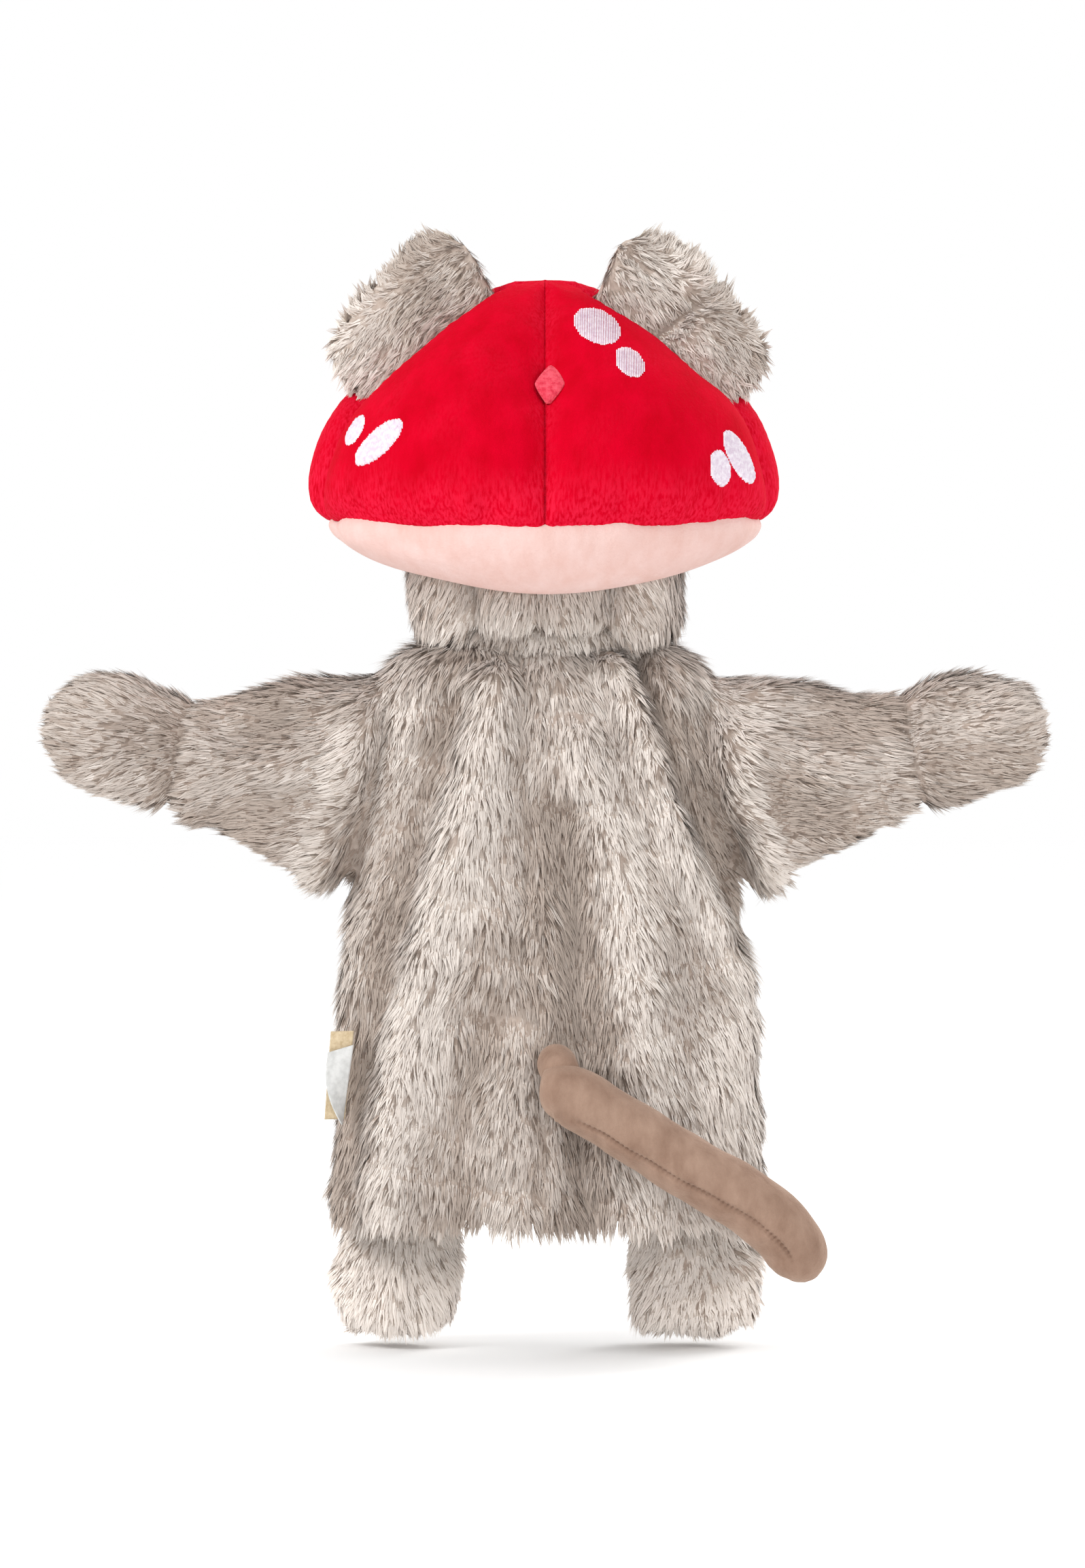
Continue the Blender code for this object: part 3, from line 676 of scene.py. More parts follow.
def body_flow(points):
    """Nap of the torso and sleeves: down and away from the middle, then out along the arms."""
    side = np.sign(points[:, 0])
    parting = np.interp(points[:, 2], (0, 110, 160), (4, 6, 7)) * (points[:, 1] > 0)
    splay = np.clip((points[:, 0] - parting) / 30, -1, 1) * 0.22
    out = ease(np.abs(points[:, 0]), 40, 62) * ease(points[:, 2], 90, 108)
    sweep = np.stack([splay, np.zeros(len(points)), -np.ones(len(points))], 1)
    arm = np.stack([side, 0.1 * np.sign(points[:, 1]), -0.18 + 0 * side], 1)
    return sweep * (1 - out)[:, None] + arm * out[:, None]


def paw_flow(points):
    side = np.sign(points[:, 0])
    away = (points[:, 2] - 137) / 30
    return np.stack([side, points[:, 1] / 40, away * 0.6], 1)


def declare(piece, body, nodes=()):
    """Say what a piece rides on and which nodes it hides."""
    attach(piece, body)
    if nodes:
        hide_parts(*nodes)


def dress(skin, hair, body, nodes):
    """A skin that hides the CAD's nodes, with the pile that grows on it."""
    declare(skin, body, nodes)
    declare(hair, body)


def build_body():
    """One skin over the torso, sleeves and paws, cut into pieces at the joints."""
    skin = fuse("body", body_solids(), 1.7, 7, (grey_skin, lining_cloth))
    shape = bmesh.new()
    shape.from_mesh(skin.data)
    geometry = shape.verts[:] + shape.edges[:] + shape.faces[:]
    bmesh.ops.bisect_plane(shape, geom=geometry, plane_co=(0, 0, HEM * MM),
                           plane_no=(0, 0, 1), clear_inner=True)
    shape.to_mesh(skin.data)
    shape.free()
    shape_body(skin)
    outside = show("outside", skin.data.copy())
    modify(skin, "SOLIDIFY", thickness=BACKING * MM, offset=-1, material_offset=1)
    settle(skin)
    for side, word in SIDES:
        arm = blend_share(side, *SWING_BEND)
        hand = blend_share(side, *PAW_BEND)
        zones = (
            ("torso", lambda p: (arm(p) < 1) & (p[:, 0] * side > 0), SWING_BEND,
             ("torso", f"shoulder_{word}"), body_flow, 6.4, (f"sleeve_head_{word}",)),
            ("sleeve", lambda p: (arm(p) >= 1) & (hand(p) < 0) & (p[:, 0] * side > 0),
             LIFT_BEND, (f"shoulder_{word}", f"arm_{word}"), body_flow, 6.0,
             (f"sleeve_{word}",)),
            ("paw", lambda p: (hand(p) >= 0) & (p[:, 0] * side > 0), PAW_BEND,
             (f"arm_{word}", f"paw_{word}"), paw_flow, 5.6,
             (f"paw_{word}", f"paw_{word}_stuffing")),
        )
        for index, (zone, keep, bend, bodies, flow, length, nodes) in enumerate(zones):
            backing = part_of(skin, f"{zone}_skin_{word}", keep)
            hair = pile(f"{zone}_pile_{word}", outside, flow, grey_pile,
                        100 + 10 * index + side, length=length, keep=keep,
                        # the body's pile carries painted shade from the folds and sleeves
                        painted_light=painted_fold_shade)
            for piece in (backing, hair):
                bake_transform(piece)
            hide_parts(*nodes)
            if zone == "torso":
                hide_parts("front_panel", "back_panel", "hand_lining")
    bpy.data.objects.remove(outside, do_unlink=True)
    bpy.data.objects.remove(skin, do_unlink=True)


# ---------------------------------------------------------------- feet

# painted light: the feet's locks move this far towards the lighter families, against the shade
# near the floor
FOOT_PAINTED_LIGHT_TONE = 1.4
# Feet: height, half width, half depth and how far the middle lies inside the hinge's
FOOT = ((-33, 9, 6.4, 0), (-31, 14.4, 9.6, 0), (-26, 17.6, 11.8, 0), (-18, 18, 11.8, 0),
        (-10, 17, 9.2, 1), (-4, 15.8, 6.6, 2.4), (2.5, 15, 5, 3.4))


def foot_flow(points):
    middle = PIVOTS["foot_swing_left"][0]
    off = np.abs(points[:, 0]) - middle
    down = -np.ones(len(points))
    return np.stack([np.sign(points[:, 0]) * off / 26, np.zeros(len(points)), down], 1)


def build_foot(side, word):
    x, y, _ = PIVOTS[f"foot_swing_{word}"]
    rings = [level_ring(z, a, b, x=x - side * inward, y=y)
             for z, a, b, inward in smooth_table(FOOT, 22)]
    solid = loft("foot_solid", rings, ())
    skin = fuse(f"foot_skin_{word}", [solid], 1.6, 3, (grey_skin,))
    press(skin, lambda p: 0.8 * drift(p, 7, 31 + side))
    hair = pile(f"foot_pile_{word}", skin, foot_flow, foot_pile, 200 + side, length=5.8,
                painted_light=lambda p: np.full(len(p), FOOT_PAINTED_LIGHT_TONE))
    dress(skin, hair, f"foot_{word}",
          (f"foot_{word}", f"foot_{word}_stuffing"))


# ---------------------------------------------------------------- head

# Height, half width and half depth of each station
HEAD = ((163, 22, 12), (167, 34, 20), (173, 37.4, 24), (180, 38.4, 26), (190, 39, 28),
        (200, 38, 27), (208, 30, 22))
NECK = ((160, 26, 10), (163, 33, 15), (168, 34, 17), (172, 30, 14))
# Gathers behind the head: sideways place, width and height
GATHERS = ((20.5, 1.8, -4.2), (-18.8, 1.8, -4.2), (2.3, 1.3, -2.0),
           (11, 6, 1.4), (-8, 6, 1.4), (31, 7, 1.8), (-30, 7, 1.8))


def shape_head(skin):
    """Gathered folds behind: two outer lobes that hang lower than the middle one."""
    points, normals, _ = read(skin)
    behind = np.clip(normals[:, 1] * 2, 0, 1)
    push = 0.7 * drift(points, 9, 41)
    for x, width, depth in GATHERS:
        push += behind * depth * bell(points[:, 0] - x, width)
    points = points + normals * push[:, None]
    middle = 1 - ease(np.abs(points[:, 0] - 0.8), 16, 21)
    points[:, 2] += 3.6 * middle * (1 - ease(points[:, 2], 168, 178)) * (points[:, 1] > 0)
    write(skin, points)


def head_flow(points):
    splay = points[:, 0] / 60
    ahead = np.where(points[:, 1] < 0, points[:, 1] / 60, 0)
    return np.stack([splay, ahead, -np.ones(len(points))], 1)


def build_head():
    rings = [level_ring(z, a, b, power=2.2, count=64) for z, a, b in smooth_table(HEAD, 30)]
    skin = fuse("head_skin", [loft("head_solid", rings, ())], 1.7, 4, (grey_skin,))
    shape_head(skin)
    hair = pile("head_pile", skin, head_flow, grey_pile, 300, length=5.6, keep=below_cap)
    dress(skin, hair, "head",
          ("head_back", "head_front", "head_stuffing", "finger_pocket"))
    rings = [level_ring(z, a, b, count=64) for z, a, b in NECK]
    neck = fuse("neck_skin", [loft("neck_solid", rings, ())], 1.7, 3, (grey_skin,))
    fluff = pile("neck_pile", neck, head_flow, grey_pile, 310, length=5.4)
    dress(neck, fluff, "neck", ("neck_band",))


def below_cap(points):
    bearing = np.degrees(np.arctan2(points[:, 1], points[:, 0]))
    limit = np.array([rim_height(b) for b in bearing]) - 6
    return points[:, 2] < limit


# ---------------------------------------------------------------- cap

CAP_RIM_Z = 201
CAP_DEPTH = 0.72              # depth of the cap against its width
CAP_RISE = 16                 # how far the rim climbs in front
CAP_DROP = 5                  # how far it sinks behind
# Height over the rim and radius of the dome; radius and height of the padded underside
DOME = ((-0.8, 62.2), (0, 62.8), (3, 63.7), (9, 63.5), (16, 62), (25, 58.6), (31, 54.8),
        (37, 48.6), (44, 41), (50.4, 33.8), (56, 26.4), (61, 19.2), (65, 13.4), (68.5, 7.6),
        (70.6, 0.4))
UNDERSIDE = ((61, 2.2), (62.4, -0.4), (62.4, -3.4), (60.6, -7.4), (57.4, -11.2), (52.6, -14.6),
             (47, -16.8), (41.6, -17), (37.4, -14))
VELBOA = 1.6                  # thickness of the cap's fabric
CAP_SEAM_X = -1.8
SIDE_SEAM = 8                 # degrees that the side seams lie behind the widest line
LOOP_Z = 237.6


def rim_height(bearing):
    """Height of the cap's rim: bearing 90 is behind, 270 in front."""
    behind = sin(radians(bearing))
    return CAP_RIM_Z - (CAP_DROP if behind > 0 else CAP_RISE) * behind * abs(behind) ** 0.5


def cap_point(radius, rise, bearing):
    slant = (rim_height(bearing) - CAP_RIM_Z) * max(0.0, 1 - max(rise, 0) / 71)
    return (radius * cos(radians(bearing)), radius * CAP_DEPTH * sin(radians(bearing)),
            CAP_RIM_Z + rise + slant)


DOME_CURVE = smooth_table(DOME, 57)


def dome_panel(name, start, stop):
    """A slice of the dome, whose edges roll in at its seams and at the rim."""
    columns = int(stop - start) + 1
    rows = len(DOME_CURVE)
    front = stop > 180
    bearings = np.linspace(start, stop, columns)
    flat = np.array([cap_point(radius, rise, bearing)
                     for rise, radius in DOME_CURVE for bearing in bearings])
    across = np.tile(np.linspace(0, 1, columns), rows)
    rise = np.repeat(DOME_CURVE[:, 0], columns)
    girth = np.repeat(DOME_CURVE[:, 1], columns) * radians(stop - start) * 0.86
    from_seam = np.minimum(across, 1 - across) * girth
    down = np.gradient(DOME_CURVE[:, 1], DOME_CURVE[:, 0])
    out = np.repeat(1 / np.hypot(1, down), columns)
    up = np.repeat(-down / np.hypot(1, down), columns)
    bearing = np.radians(np.tile(bearings, rows))
    normal = unit(np.stack([out * np.cos(bearing) * CAP_DEPTH, out * np.sin(bearing), up], 1))
    seam_fade = ease(rise, 0, 6) * (1 - ease(rise, 64, 70))
    push = -1.3 * bell(from_seam, 1.2) * (0.4 + 0.6 * seam_fade)
    push += 1.6 * (1 - bell(from_seam, 11)) * seam_fade
    push -= 1.2 * bell(rise + 0.8, 1.4)
    gather = bell(rise - 7, 5) * ease(rise, 0, 4)
    pucker = np.sin(bearing * 17 + 2.6 * np.sin(bearing * 5)) * np.clip(
        drift(flat, 18, 53), 0, 1)
    push += 0.8 * pucker * gather + (0.8 * drift(flat, 16, 51) + 0.25 * drift(flat, 6, 52)) \
        * ease(rise, -4, 8)
    if front:
        push += 2.6 * (1 - bell(from_seam, 4)) * ease(rise, -2, 6) \
            * (1 - 0.45 * ease(rise, 52, 66))
    flat = flat + normal * push[:, None]
    index = np.arange(rows * columns).reshape(rows, columns)
    faces = np.stack([index[:-1, :-1], index[:-1, 1:], index[1:, 1:], index[1:, :-1]],
                     -1).reshape(-1, 4)
    panel = mesh_object(name, flat, faces, (red,))
    edge = np.concatenate([index[0], index[-1], index[:, 0], index[:, -1]])
    puff(panel, edge, pressure=5, growth=0.02)
    # painted sheen on the cap, strongest near the rim, along the seams and over the front panel
    painted_sheen_share = 0.95 * (1 - ease(rise, 2, 19)) + 0.5 * bell(from_seam, 3) \
        + (0.55 if front else 0) + 0.16 * drift(flat, 10, 54)
    nap = panel.data.attributes.new("nap", "FLOAT", "POINT")
    nap.data.foreach_set("value", np.clip(painted_sheen_share, 0, 1).astype(np.float32))
    modify(panel, "SOLIDIFY", thickness=VELBOA * MM, offset=-1)
    return settle(panel)


def underside_depth(bearing):
    """How far the padded brim hangs: most behind, least at the sides."""
    across = sin(radians(bearing))
    return 0.62 + (0.38 if across > 0 else 0.2) * abs(across) ** 1.2


def build_cap():
    panels = {"cap_back_left": (SIDE_SEAM, 90), "cap_back_right": (90, 180 - SIDE_SEAM),
              "cap_front": (180 - SIDE_SEAM, 360 + SIDE_SEAM)}
    for name, span in panels.items():
        panel = dome_panel(f"{name}_velboa", *span)
        nodes = (name, "cap_stuffing") if name == "cap_front" else (name,)
        declare(panel, "head", nodes)
    curve = smooth_table([(i, r, z) for i, (r, z) in enumerate(UNDERSIDE)], 44)
    rings = []
    for _, radius, rise in curve:
        rings.append([cap_point(radius, rise * (underside_depth(b) if rise < 0 else 1), b)
                      for b in np.arange(0, 360, 1.25)])
    around = len(rings[0])
    piece = loft("cap_underside_velboa", rings, (pink,), closed=False)
    points, normals, _ = read(piece)
    outward = np.sum(points[:, :2] * normals[:, :2], axis=1)
    if outward[:around].mean() < 0:
        piece.data.flip_normals()
        normals = -normals
    bearing = np.arctan2(points[:, 1] / CAP_DEPTH, points[:, 0])
    radius = np.hypot(points[:, 0], points[:, 1] / CAP_DEPTH)
    inward = 1 - ease(radius, 38, 44)
    near_rim = ease(radius, 58, 61.5)
    push = 0.5 * drift(points, 13, 61) + 0.3 * inward * np.sin(bearing * 21)
    push += 0.7 * near_rim * np.sin(bearing * 13 + 2 * np.sin(bearing * 4)) * np.clip(
        drift(points, 15, 62), 0, 1)
    write(piece, points + normals * push[:, None])
    declare(piece, "head", ("cap_underside",))


# Spots as seen along Y: x, z, half length, half width, turn of the long axis from +X up,
# and 1 behind or -1 in front
SPOTS = ((-14.8, 255.0, 7.2, 5.2, 32, 1), (-23.9, 243.9, 5.1, 3.7, 52, 1),
         (46.9, 221.3, 8.8, 3.6, -42, 1), (54.0, 225.4, 4.8, 2.1, -62, 1),
         (-55.0, 217.6, 8.2, 3.1, 62, 1), (-49.3, 214.0, 5.2, 3.0, 82, 1),
         (-18, 252, 7.4, 6.2, 20, -1), (16, 262, 5, 4.2, 0, -1), (30, 238, 7.8, 6.6, 60, -1),
         (-40, 232, 6.4, 5.2, 30, -1), (-6, 236, 5.4, 4.8, 0, -1), (50, 226, 4.0, 5.2, 0, -1))
STITCH_PITCH = 0.5


def surface_at(target, x, z, facing):
    """Where a line along Y through x and z first meets a piece, from the side it faces."""
    start = Vector((x * MM, facing * 0.2, z * MM))
    hit, where, normal, _ = target.ray_cast(start, Vector((0, -facing, 0)))
    return (where / MM, normal) if hit else (None, None)


def stitched_spot(points, faces, target, spot):
    """Satin stitch: upright threads laid side by side across an oval, broken into stitches."""
    x0, z0, long_half, short_half, turn, facing = spot
    _, facing_normal = surface_at(target, x0, z0, facing)
    slope = abs(facing_normal.y) / hypot(facing_normal.x, facing_normal.y)
    c, s = cos(radians(turn)), sin(radians(turn))
    a_xx = (c / long_half) ** 2 + (s / short_half) ** 2
    a_xz = 2 * c * s * (1 / long_half ** 2 - 1 / short_half ** 2)
    a_zz = (s / long_half) ** 2 + (c / short_half) ** 2
    widest = sqrt(a_zz / (a_xx * a_zz - a_xz ** 2 / 4))
    rng = np.random.default_rng(int(abs(x0 * z0)))
    pitch = STITCH_PITCH * slope
    for i in range(int(2 * widest / pitch)):
        dx = -widest + pitch * (i + 0.5)
        inside = (a_xz * dx) ** 2 - 4 * a_zz * (a_xx * dx * dx - 1)
        if inside <= 0:
            continue
        middle = -a_xz * dx / (2 * a_zz)
        reach = sqrt(inside) / (2 * a_zz) + rng.uniform(-0.2, 0.25)
        if reach < 0.3:
            continue
        count = max(5, int(2 * reach / 0.55))
        base = len(points)
        for t in np.linspace(-1, 1, count):
            where, normal = surface_at(target, x0 + dx, z0 + middle + t * reach, facing)
            if where is None:
                continue
            beside = Vector((normal.y, -normal.x, 0)).normalized() * (0.2 * facing)
            stitch = abs(sin(t * reach * 1.25 + i * 1.9))
            thick = 0.16 + 0.34 * sqrt(max(1 - t ** 4, 0)) * (0.55 + 0.45 * stitch)
            points += [where - beside + normal * 0.04, where + normal * thick,
                       where + beside + normal * 0.04]
        faces += ridge(base, (len(points) - base) // 3)


def build_spots():
    for name, facing, side in (("cap_back_left", 1, 1), ("cap_back_right", 1, -1),
                               ("cap_front", -1, 0)):
        target = bpy.data.objects[f"{name}_velboa"]
        points, faces = [], []
        for spot in SPOTS:
            if spot[5] == facing and spot[0] * side >= 0:
                stitched_spot(points, faces, target, spot)
        piece = mesh_object(f"{name}_spots", np.array([tuple(p) for p in points]), faces,
                            (white_thread,))
        declare(piece, "head")


LOOP_REACH = 5.8                         # half the loop's height
LOOP_WIDTH = (0.6, 3.6)                  # half width at its ends, and what its middle adds


def build_loop():
    """Hanging loop: a woven tape arch pinched into the centre back seam at both ends."""
    panels = [bpy.data.objects[f"cap_back_{word}_velboa"] for word in ("left", "right")]
    low, high = LOOP_Z - LOOP_REACH, LOOP_Z + LOOP_REACH
    steps, columns = 31, 17
    points = []
    for layer in (0.0, 0.8):
        for i in range(steps):
            t = i / (steps - 1)
            z = low + (high - low) * t
            x_seat = CAP_SEAM_X * (z - low) / (high - low) * 0.5 - 0.9
            seats = [surface_at(panel, x_seat + dx, z, 1)[0]
                     for panel, dx in zip(panels, (2.6, -2.6))]
            seat = np.mean([seat.y for seat in seats if seat is not None])
            spread_x = LOOP_WIDTH[0] + LOOP_WIDTH[1] * (1 - abs(2 * t - 1) ** 1.3)
            stand = -1.2 + layer + 3.4 * sin(pi * t) ** 0.7
            for c in range(columns):
                u = -1 + 2 * c / (columns - 1)
                thread = 0.3 * sin(2.6 * (u * 3.3 + z)) * sin(2.6 * (u * 3.3 - z)) * layer
                points.append((x_seat + u * spread_x, seat + stand + thread - 0.8 * u * u, z))
    piece = face_out(mesh_object("hanging_loop_tape", np.array(points),
                                 slab(steps, columns), (loop_cloth,)))
    declare(piece, "head", ("hanging_loop",))


def slab(rows, columns):
    """Faces of a closed slab whose points are two grids, one after the other."""
    index = np.arange(2 * rows * columns).reshape(2, rows, columns)
    faces = []
    for layer in range(2):
        for r in range(rows - 1):
            faces += strips(list(index[layer, r]), list(index[layer, r + 1]), False)
    for edge in (0, columns - 1):
        faces += strips(list(index[0, :, edge]), list(index[1, :, edge]), False)
    for row in (0, rows - 1):
        faces += strips(list(index[0, row]), list(index[1, row]), False)
    return [tuple(int(i) for i in face) for face in faces]


# ---------------------------------------------------------------- ears

EAR_CORNER = (15.0, 265.9)       # inner end of the ear's base, in X and Z
EAR_SLOPE = radians(-39.7)       # way the base runs, down and outwards
EAR_OUTLINE = ((1, -6), (-0.4, 0), (-1.6, 5), (-3, 11.5), (-3.4, 17), (-1.4, 22), (2.4, 25),
               (8, 26.4), (14, 26.3), (22, 25.2), (29, 23.8), (36, 22.2), (42, 20.2),
               (45.4, 17.2), (46.6, 12.4), (46.4, 7), (45.4, 2), (44, -3), (42, -6))
EAR_THICK = 2.5
EAR_SET_BACK = 3.2
LINING_SEAM = 2.2                # the lining's edge lies this far back, less the overlaps below
BACK_OVERLAP, LINING_OVERLAP = 1.4, 0.4


def along_ear(points):
    """How far each point lies along the ear's base and above it."""
    off = np.abs(points[:, 0]) - EAR_CORNER[0]
    up = points[:, 2] - EAR_CORNER[1]
    c, s = cos(EAR_SLOPE), sin(EAR_SLOPE)
    return off * c + up * s, up * c - off * s


def curled(depth, along, high):
    """Depth of the ear's middle after its free edge curls forwards."""
    return depth - 9.0 * (np.clip(high, 0, 30) / 26) ** 2.2 \
        - 3.6 * (np.clip(along - 20, 0, 40) / 26) ** 2


def ear_skin(side, word):
    """A soft plate along the cap's side seam, with its free edge curled forwards."""
    outline = np.array(EAR_OUTLINE, float)
    stretch = 1.0 if side > 0 else 1.07
    outline[:, 0] *= stretch
    count = len(outline)
    middle = np.array((21 * stretch, 9))
    points, faces = [], []
    rings = ((1.0, 0.45), (0.93, 1.0), (0.0, 1.0))
    for layer in (1, -1):
        for shrink, thick in rings[:2]:
            points += [(*(middle + (p - middle) * shrink), layer * thick * EAR_THICK)
                       for p in outline]
        points.append((*middle, layer * EAR_THICK))
    size = 2 * count + 1
    for layer in range(2):
        base = layer * size
        outer = list(range(base, base + count))
        inner = list(range(base + count, base + 2 * count))
        faces += strips(outer, inner)
        faces += [(inner[i], inner[(i + 1) % count], base + 2 * count) for i in range(count)]
    faces += strips(list(range(count)), list(range(size, size + count)))
    local = np.array(points)
    turned = np.column_stack([local[:, 0], local[:, 2], local[:, 1]])
    solid = face_out(mesh_object("ear_solid", turned, faces))
    skin = fuse(f"ear_skin_{word}", [solid], 1.1, 4, (grey_skin, cream_skin))
    points, normals, _ = read(skin)
    along, depth, high = points.T
    depth = curled(depth, along, high) + EAR_SET_BACK
    if side < 0:
        depth = depth - 4.2 * bell(along - 19 - 0.2 * high, 3.6) \
            + 2.6 * np.exp(-((along - 35) / 9) ** 2 - ((high - 10) / 9) ** 2)
    else:
        depth = depth + 1.8 * bell(along - 24, 12)
    c, s = cos(EAR_SLOPE), sin(EAR_SLOPE)
    x = EAR_CORNER[0] + along * c - high * s
    z = EAR_CORNER[1] + along * s + high * c
    write(skin, np.column_stack([side * x, depth, z]))
    if side < 0:
        skin.data.flip_normals()
    return skin


def build_ear(side, word):
    skin = ear_skin(side, word)
    press(skin, lambda p: 0.6 * drift(p, 7, 71 + side))

    def front_line(places):
        along, high = along_ear(places)
        return curled(LINING_SEAM, along, high)

    def flow(places):
        up = ease(along_ear(places)[1], 15, 24)[:, None]
        down = np.array((0.55 * side, 0, -0.85))
        out = np.array((0.64 * side * 0.6, 0, 0.77))
        return down * (1 - up) + out * up

    back = pile(f"ear_pile_{word}", skin, flow, grey_pile, 400 + side, length=5.0,
                keep=lambda p: p[:, 1] > front_line(p) - BACK_OVERLAP,
                curl=0.06 if side > 0 else 0.14)
    front = pile(f"ear_lining_pile_{word}", skin, flow, cream_pile, 410 + side, length=3.2,
                 width=0.45, keep=lambda p: p[:, 1] <= front_line(p) + LINING_OVERLAP)
    declare(skin, f"ear_{word}", (f"ear_back_{word}", f"ear_lining_{word}"))
    declare(back, f"ear_{word}")
    declare(front, f"ear_{word}")


# ---------------------------------------------------------------- face

# Depth, half width, half height and middle height of the muzzle; depth and half width of the nose
MUZZLE = ((-46.8, 3, 2.4, 183), (-45, 7, 5.2, 182.6), (-41, 11.5, 8, 182),
          (-36, 14, 9.6, 181.5), (-29, 15.4, 10, 181.5), (-20, 13, 8, 182))
NOSE = ((-55, 0.6), (-54.4, 2.8), (-52.6, 4.4), (-50.4, 4.4), (-47.4, 2.6))
NOSE_Z = 185.2
NOSE_ROOT = (0, -46, 184)                # the muzzle's pile is brushed away from here
EYE = (17, -29.4, 193)


def face_flow(points):
    return (points - np.array(NOSE_ROOT)) * (1, 0.6, 1)


def build_face():
    rings = []
    for y, a, b, z in smooth_table(MUZZLE, 22):
        edge = oval(a, b, 2.1, 40)
        rings.append(np.column_stack([edge[:, 0], np.full(40, y), z + edge[:, 1]]))
    skin = fuse("muzzle_skin", [loft("muzzle_solid", rings, ())], 1.3, 3, (cream_skin,))
    hair = pile("muzzle_pile", skin, face_flow, cream_pile, 500, length=3.0, width=0.42,
                spacing=1.05, keep=lambda p: p[:, 1] < -24)
    dress(skin, hair, "head", ("muzzle",))
    rings = []
    for y, half in smooth_table(NOSE, 16):
        edge = oval(half, half * 0.78, 2.3, 32)
        drop = -0.12 * np.abs(edge[:, 0]) * (edge[:, 1] < 0)
        rings.append(np.column_stack([edge[:, 0] * (1 + 0.02 * edge[:, 1]), np.full(32, y),
                                      NOSE_Z + edge[:, 1] - drop]))
    nose = loft("nose_velboa", rings, (rose,))
    declare(nose, "head", ("nose",))
    for side, word in SIDES:
        build_eye(side, word)
    build_mouth()


def build_eye(side, word):
    """A domed oval of satin stitch."""
    points, faces = [], []
    for i in range(20):
        a = -4.2 + 0.44 * i
        reach = 3.3 * sqrt(max(1 - (a / 4.4) ** 2, 0.04))
        base = len(points)
        for s in np.linspace(-1, 1, 9):
            dome = 1.4 * max(0.0, 1 - (s * reach / 3.6) ** 2 - (a / 4.8) ** 2)
            edge = 0.35 * sqrt(max(1 - s * s, 0))
            x = side * EYE[0] + s * reach
            y = EYE[1] + 1.2 * ((side * x - EYE[0]) / 10) - dome
            for step, high in ((-0.24, 0.0), (0.0, edge), (0.24, 0.0)):
                points.append((x, y - high, EYE[2] + a + step + 0.25 * s))
        faces += ridge(base, 9)
    eye = mesh_object(f"eye_stitch_{word}", np.array(points), faces, (dark_thread,))
    declare(eye, "head", (f"eye_{word}",))


def build_mouth():
    """Two curved runs of backstitch under the nose."""
    points, faces = [], []
    for side in (1, -1):
        for i in range(6):
            share = np.linspace(i, i + 0.82, 5) / 6
            base = len(points)
            for t in share:
                x = side * 6.8 * t
                z = 178.9 - 3.4 * sin(pi * t * 0.9) + 1.2 * t
                y = -46.9 + 3.6 * t ** 2
                for turn in np.linspace(0, 2 * pi, 6, endpoint=False):
                    points.append((x, y - 0.35 * cos(turn), z + 0.35 * sin(turn)))
            for k in range(4):
                low = list(range(base + 6 * k, base + 6 * k + 6))
                faces += strips(low, [n + 6 for n in low])
    mouth = mesh_object("mouth_stitch", np.array(points), faces, (dark_thread,))
    declare(mouth, "head")


# ---------------------------------------------------------------- tail and labels

# Distance along, middle (x, y, z) and radius of the tail, then of the fold at its base
TAIL = ((0, 1.0, 35.4, 37.8, 1.6), (1.4, 0, 35.7, 37.9, 5.2), (4, -2.4, 36, 38.2, 7.6),
        (8, -5.8, 36.2, 37.8, 8.4), (20, -16.2, 36.4, 32.2, 8.6), (32, -26.7, 36.6, 25.8, 8.8),
        (49.6, -41.7, 36.6, 16.4, 9.0), (63.5, -54, 36.4, 9.4, 9.2), (74, -62.4, 36, 3.4, 9.2),
        (82, -67.8, 35.2, -2, 9.1), (88.4, -71, 34, -7, 8.6), (93, -72.4, 32.8, -11, 7.0),
        (96, -73, 32, -13.6, 4.4))
TAIL_TIPS = ((1.6, 35.2, 37.8), (-73.3, 31.4, -15.6))
FOLD_LOBE = ((0, -2.6, 24.5, 46.6, 3.6), (3, -3, 27.6, 46.4, 5.2), (7, -3.8, 31.4, 45, 5.6),
             (11, -5, 35.4, 42.8, 4.6), (13, -5.8, 37.2, 41.4, 2.4))
SEAM_TURN = (radians(46), radians(74))     # where the tail's seam starts and ends around it


def tube_rings(path, rows, around, seamed):
    """Rings along a bent tube; a seamed tube has a stitched groove along its lower side."""
    table = smooth_table(path, rows)
    rings = []
    for i, (where, x, y, z, radius) in enumerate(table):
        low, high = table[max(i - 1, 0)], table[min(i + 1, len(table) - 1)]
        heading = Vector(high[1:4] - low[1:4]).normalized()
        side = heading.cross(Vector((0, 1, 0.15))).normalized()
        up = side.cross(heading)
        share = where / table[-1, 0]
        line = SEAM_TURN[0] + (SEAM_TURN[1] - SEAM_TURN[0]) * share ** 1.5
        ring = []
        for turn in np.linspace(0, 2 * pi, around, endpoint=False):
            size = radius
            if seamed:
                near = (turn - line + pi) % (2 * pi) - pi
                run = ease(share, 0.12, 0.2) * (1 - ease(share, 0.86, 0.95))
                groove = bell(near, 0.08) * (1.3 + 0.4 * sin(where * 4.2))
                below = bell(near + 0.45, 0.4)
                size -= run * (groove + 0.25 * below * (1 + sin(where * 0.9)))
                size += 0.35 * sin(where * 0.42 + 2 * cos(turn)) * cos(turn - 1.1)
            ring.append(tuple(Vector((x, y, z)) + side * (size * cos(turn))
                              + up * (size * sin(turn))))
        rings.append(ring)
    return rings


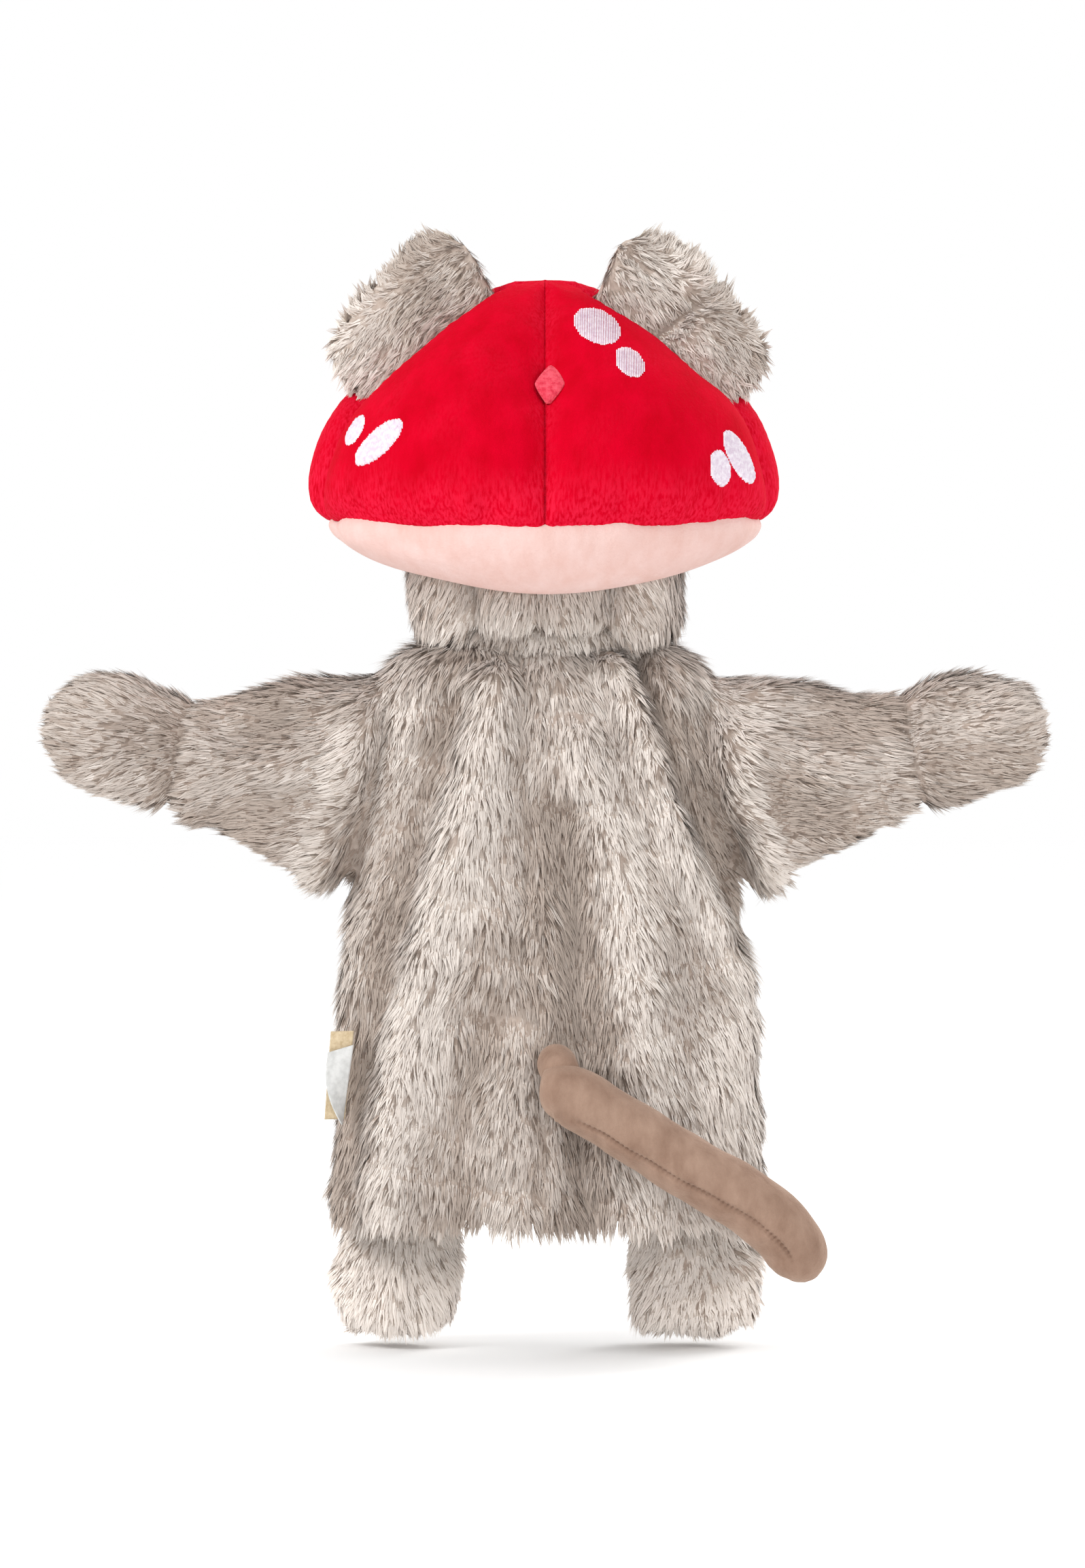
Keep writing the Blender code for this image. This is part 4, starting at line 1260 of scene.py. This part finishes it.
def build_tail():
    tube = loft("tail_velboa_tube", tube_rings(TAIL, 200, 110, True), (brown,),
                tips=TAIL_TIPS)
    declare(tube, "tail", ("tail", "tail_stuffing"))
    base = loft("tail_fold_velboa", tube_rings(FOLD_LOBE, 30, 48, False), (brown,))
    declare(base, "tail_fold", ("tail_base",))


def ribbon(name, place_at, thick, material, rows=40, columns=16):
    """A thin strip: place_at(t, s) gives a point and the way the strip faces there."""
    points = []
    for layer in (-0.5, 0.5):
        for r in range(rows):
            for c in range(columns):
                spot, facing = place_at(c / (columns - 1), r / (rows - 1))
                points.append(np.array(spot) + layer * thick * np.array(facing))
    return face_out(mesh_object(name, np.array(points), slab(rows, columns), (material,)))


LABEL_X = 54.6                           # where both labels leave the side seam
TAPE_WIDTH, TAPE_LENGTH = 6.6, 25.2
CARE_WIDTH, CARE_LENGTH = 7.4, 22.6


def tape_place(t, s):
    x = LABEL_X + 2.6 * s + t * (TAPE_WIDTH - 0.8 * s)
    return (x, 15.6 - 0.7 * t + 0.5 * sin(3 * s), 54.5 - TAPE_LENGTH * s - 0.2 * t), (0.1, 0.99, 0)


def care_place(t, s):
    turn = radians(6 + 84 * s ** 1.4)
    across = CARE_WIDTH * t
    return ((LABEL_X + 3.2 * s + across * cos(turn),
             17 + across * sin(turn) * 0.55 + 0.5 * sin(5 * s),
             50.6 - CARE_LENGTH * s - 2.2 * t * (1 - s)), (-sin(turn), cos(turn), 0))


def build_labels():
    tape = ribbon("label_tape_twill", tape_place, 0.7, tape_cloth)
    declare(tape, "label_tape", ("label_tape",))
    care = ribbon("care_label_satin", care_place, 0.25, satin_cloth)
    declare(care, "care_label", ("care_label",))


# ---------------------------------------------------------------- stage

FLOOR_HALF = 12.0                        # metres, as are the lamps' places and the camera's
LAMP_AIM = (0, 0, 0.12)
# Name, place, watts and size
LAMPS = (("key", (1.3, 0.8, 1.2), 14, 0.6), ("fill", (-0.5, 1.5, 0.0), 5, 0.8),
         ("front_key", (-1.1, -1.1, 1.2), 14, 0.8))
CAMERA_PLACE = (0.7 * MM, 1.26, 125 * MM)


def build_stage():
    """A white floor under the lowest point, an even sky and three soft lamps."""
    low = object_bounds()[0][2]
    mesh = bpy.data.meshes.new("floor")
    corners = ((-1, -1), (1, -1), (1, 1), (-1, 1))
    mesh.from_pydata([(a * FLOOR_HALF, b * FLOOR_HALF, low) for a, b in corners], [],
                     [(0, 1, 2, 3)])
    mesh.materials.append(plain("floor_white", (1, 1, 1, 1), 1.0))
    show("floor", mesh)
    world = bpy.data.worlds.new("studio")
    bpy.context.scene.world = world
    world.use_nodes = True
    sky = world.node_tree.nodes["Background"]
    sky.inputs["Color"].default_value = (1, 1, 1, 1)
    sky.inputs["Strength"].default_value = 1.0
    for name, spot, energy, size in LAMPS:
        lamp = bpy.data.lights.new(name, "AREA")
        lamp.energy, lamp.size = energy, size
        made = show(name, lamp)
        made.location = spot
        aim = Vector(LAMP_AIM) - Vector(spot)
        made.rotation_euler = aim.to_track_quat("-Z", "Y").to_euler()
    bpy.context.scene.view_settings.view_transform = "Standard"


def build_camera():
    """Behind the puppet, level with its middle, on a long lens."""
    lens = bpy.data.cameras.new("camera")
    lens.lens = 100
    lens.sensor_width = 36
    camera = show("camera", lens)
    camera.location = CAMERA_PLACE
    camera.rotation_euler = (radians(90), 0, radians(180))
    bpy.context.scene.camera = camera


build_camera()
build_cap()
build_spots()
build_loop()
build_body()
build_head()
build_face()
build_tail()
build_labels()
for side, word in SIDES:
    build_ear(side, word)
    build_foot(side, word)
build_stage()
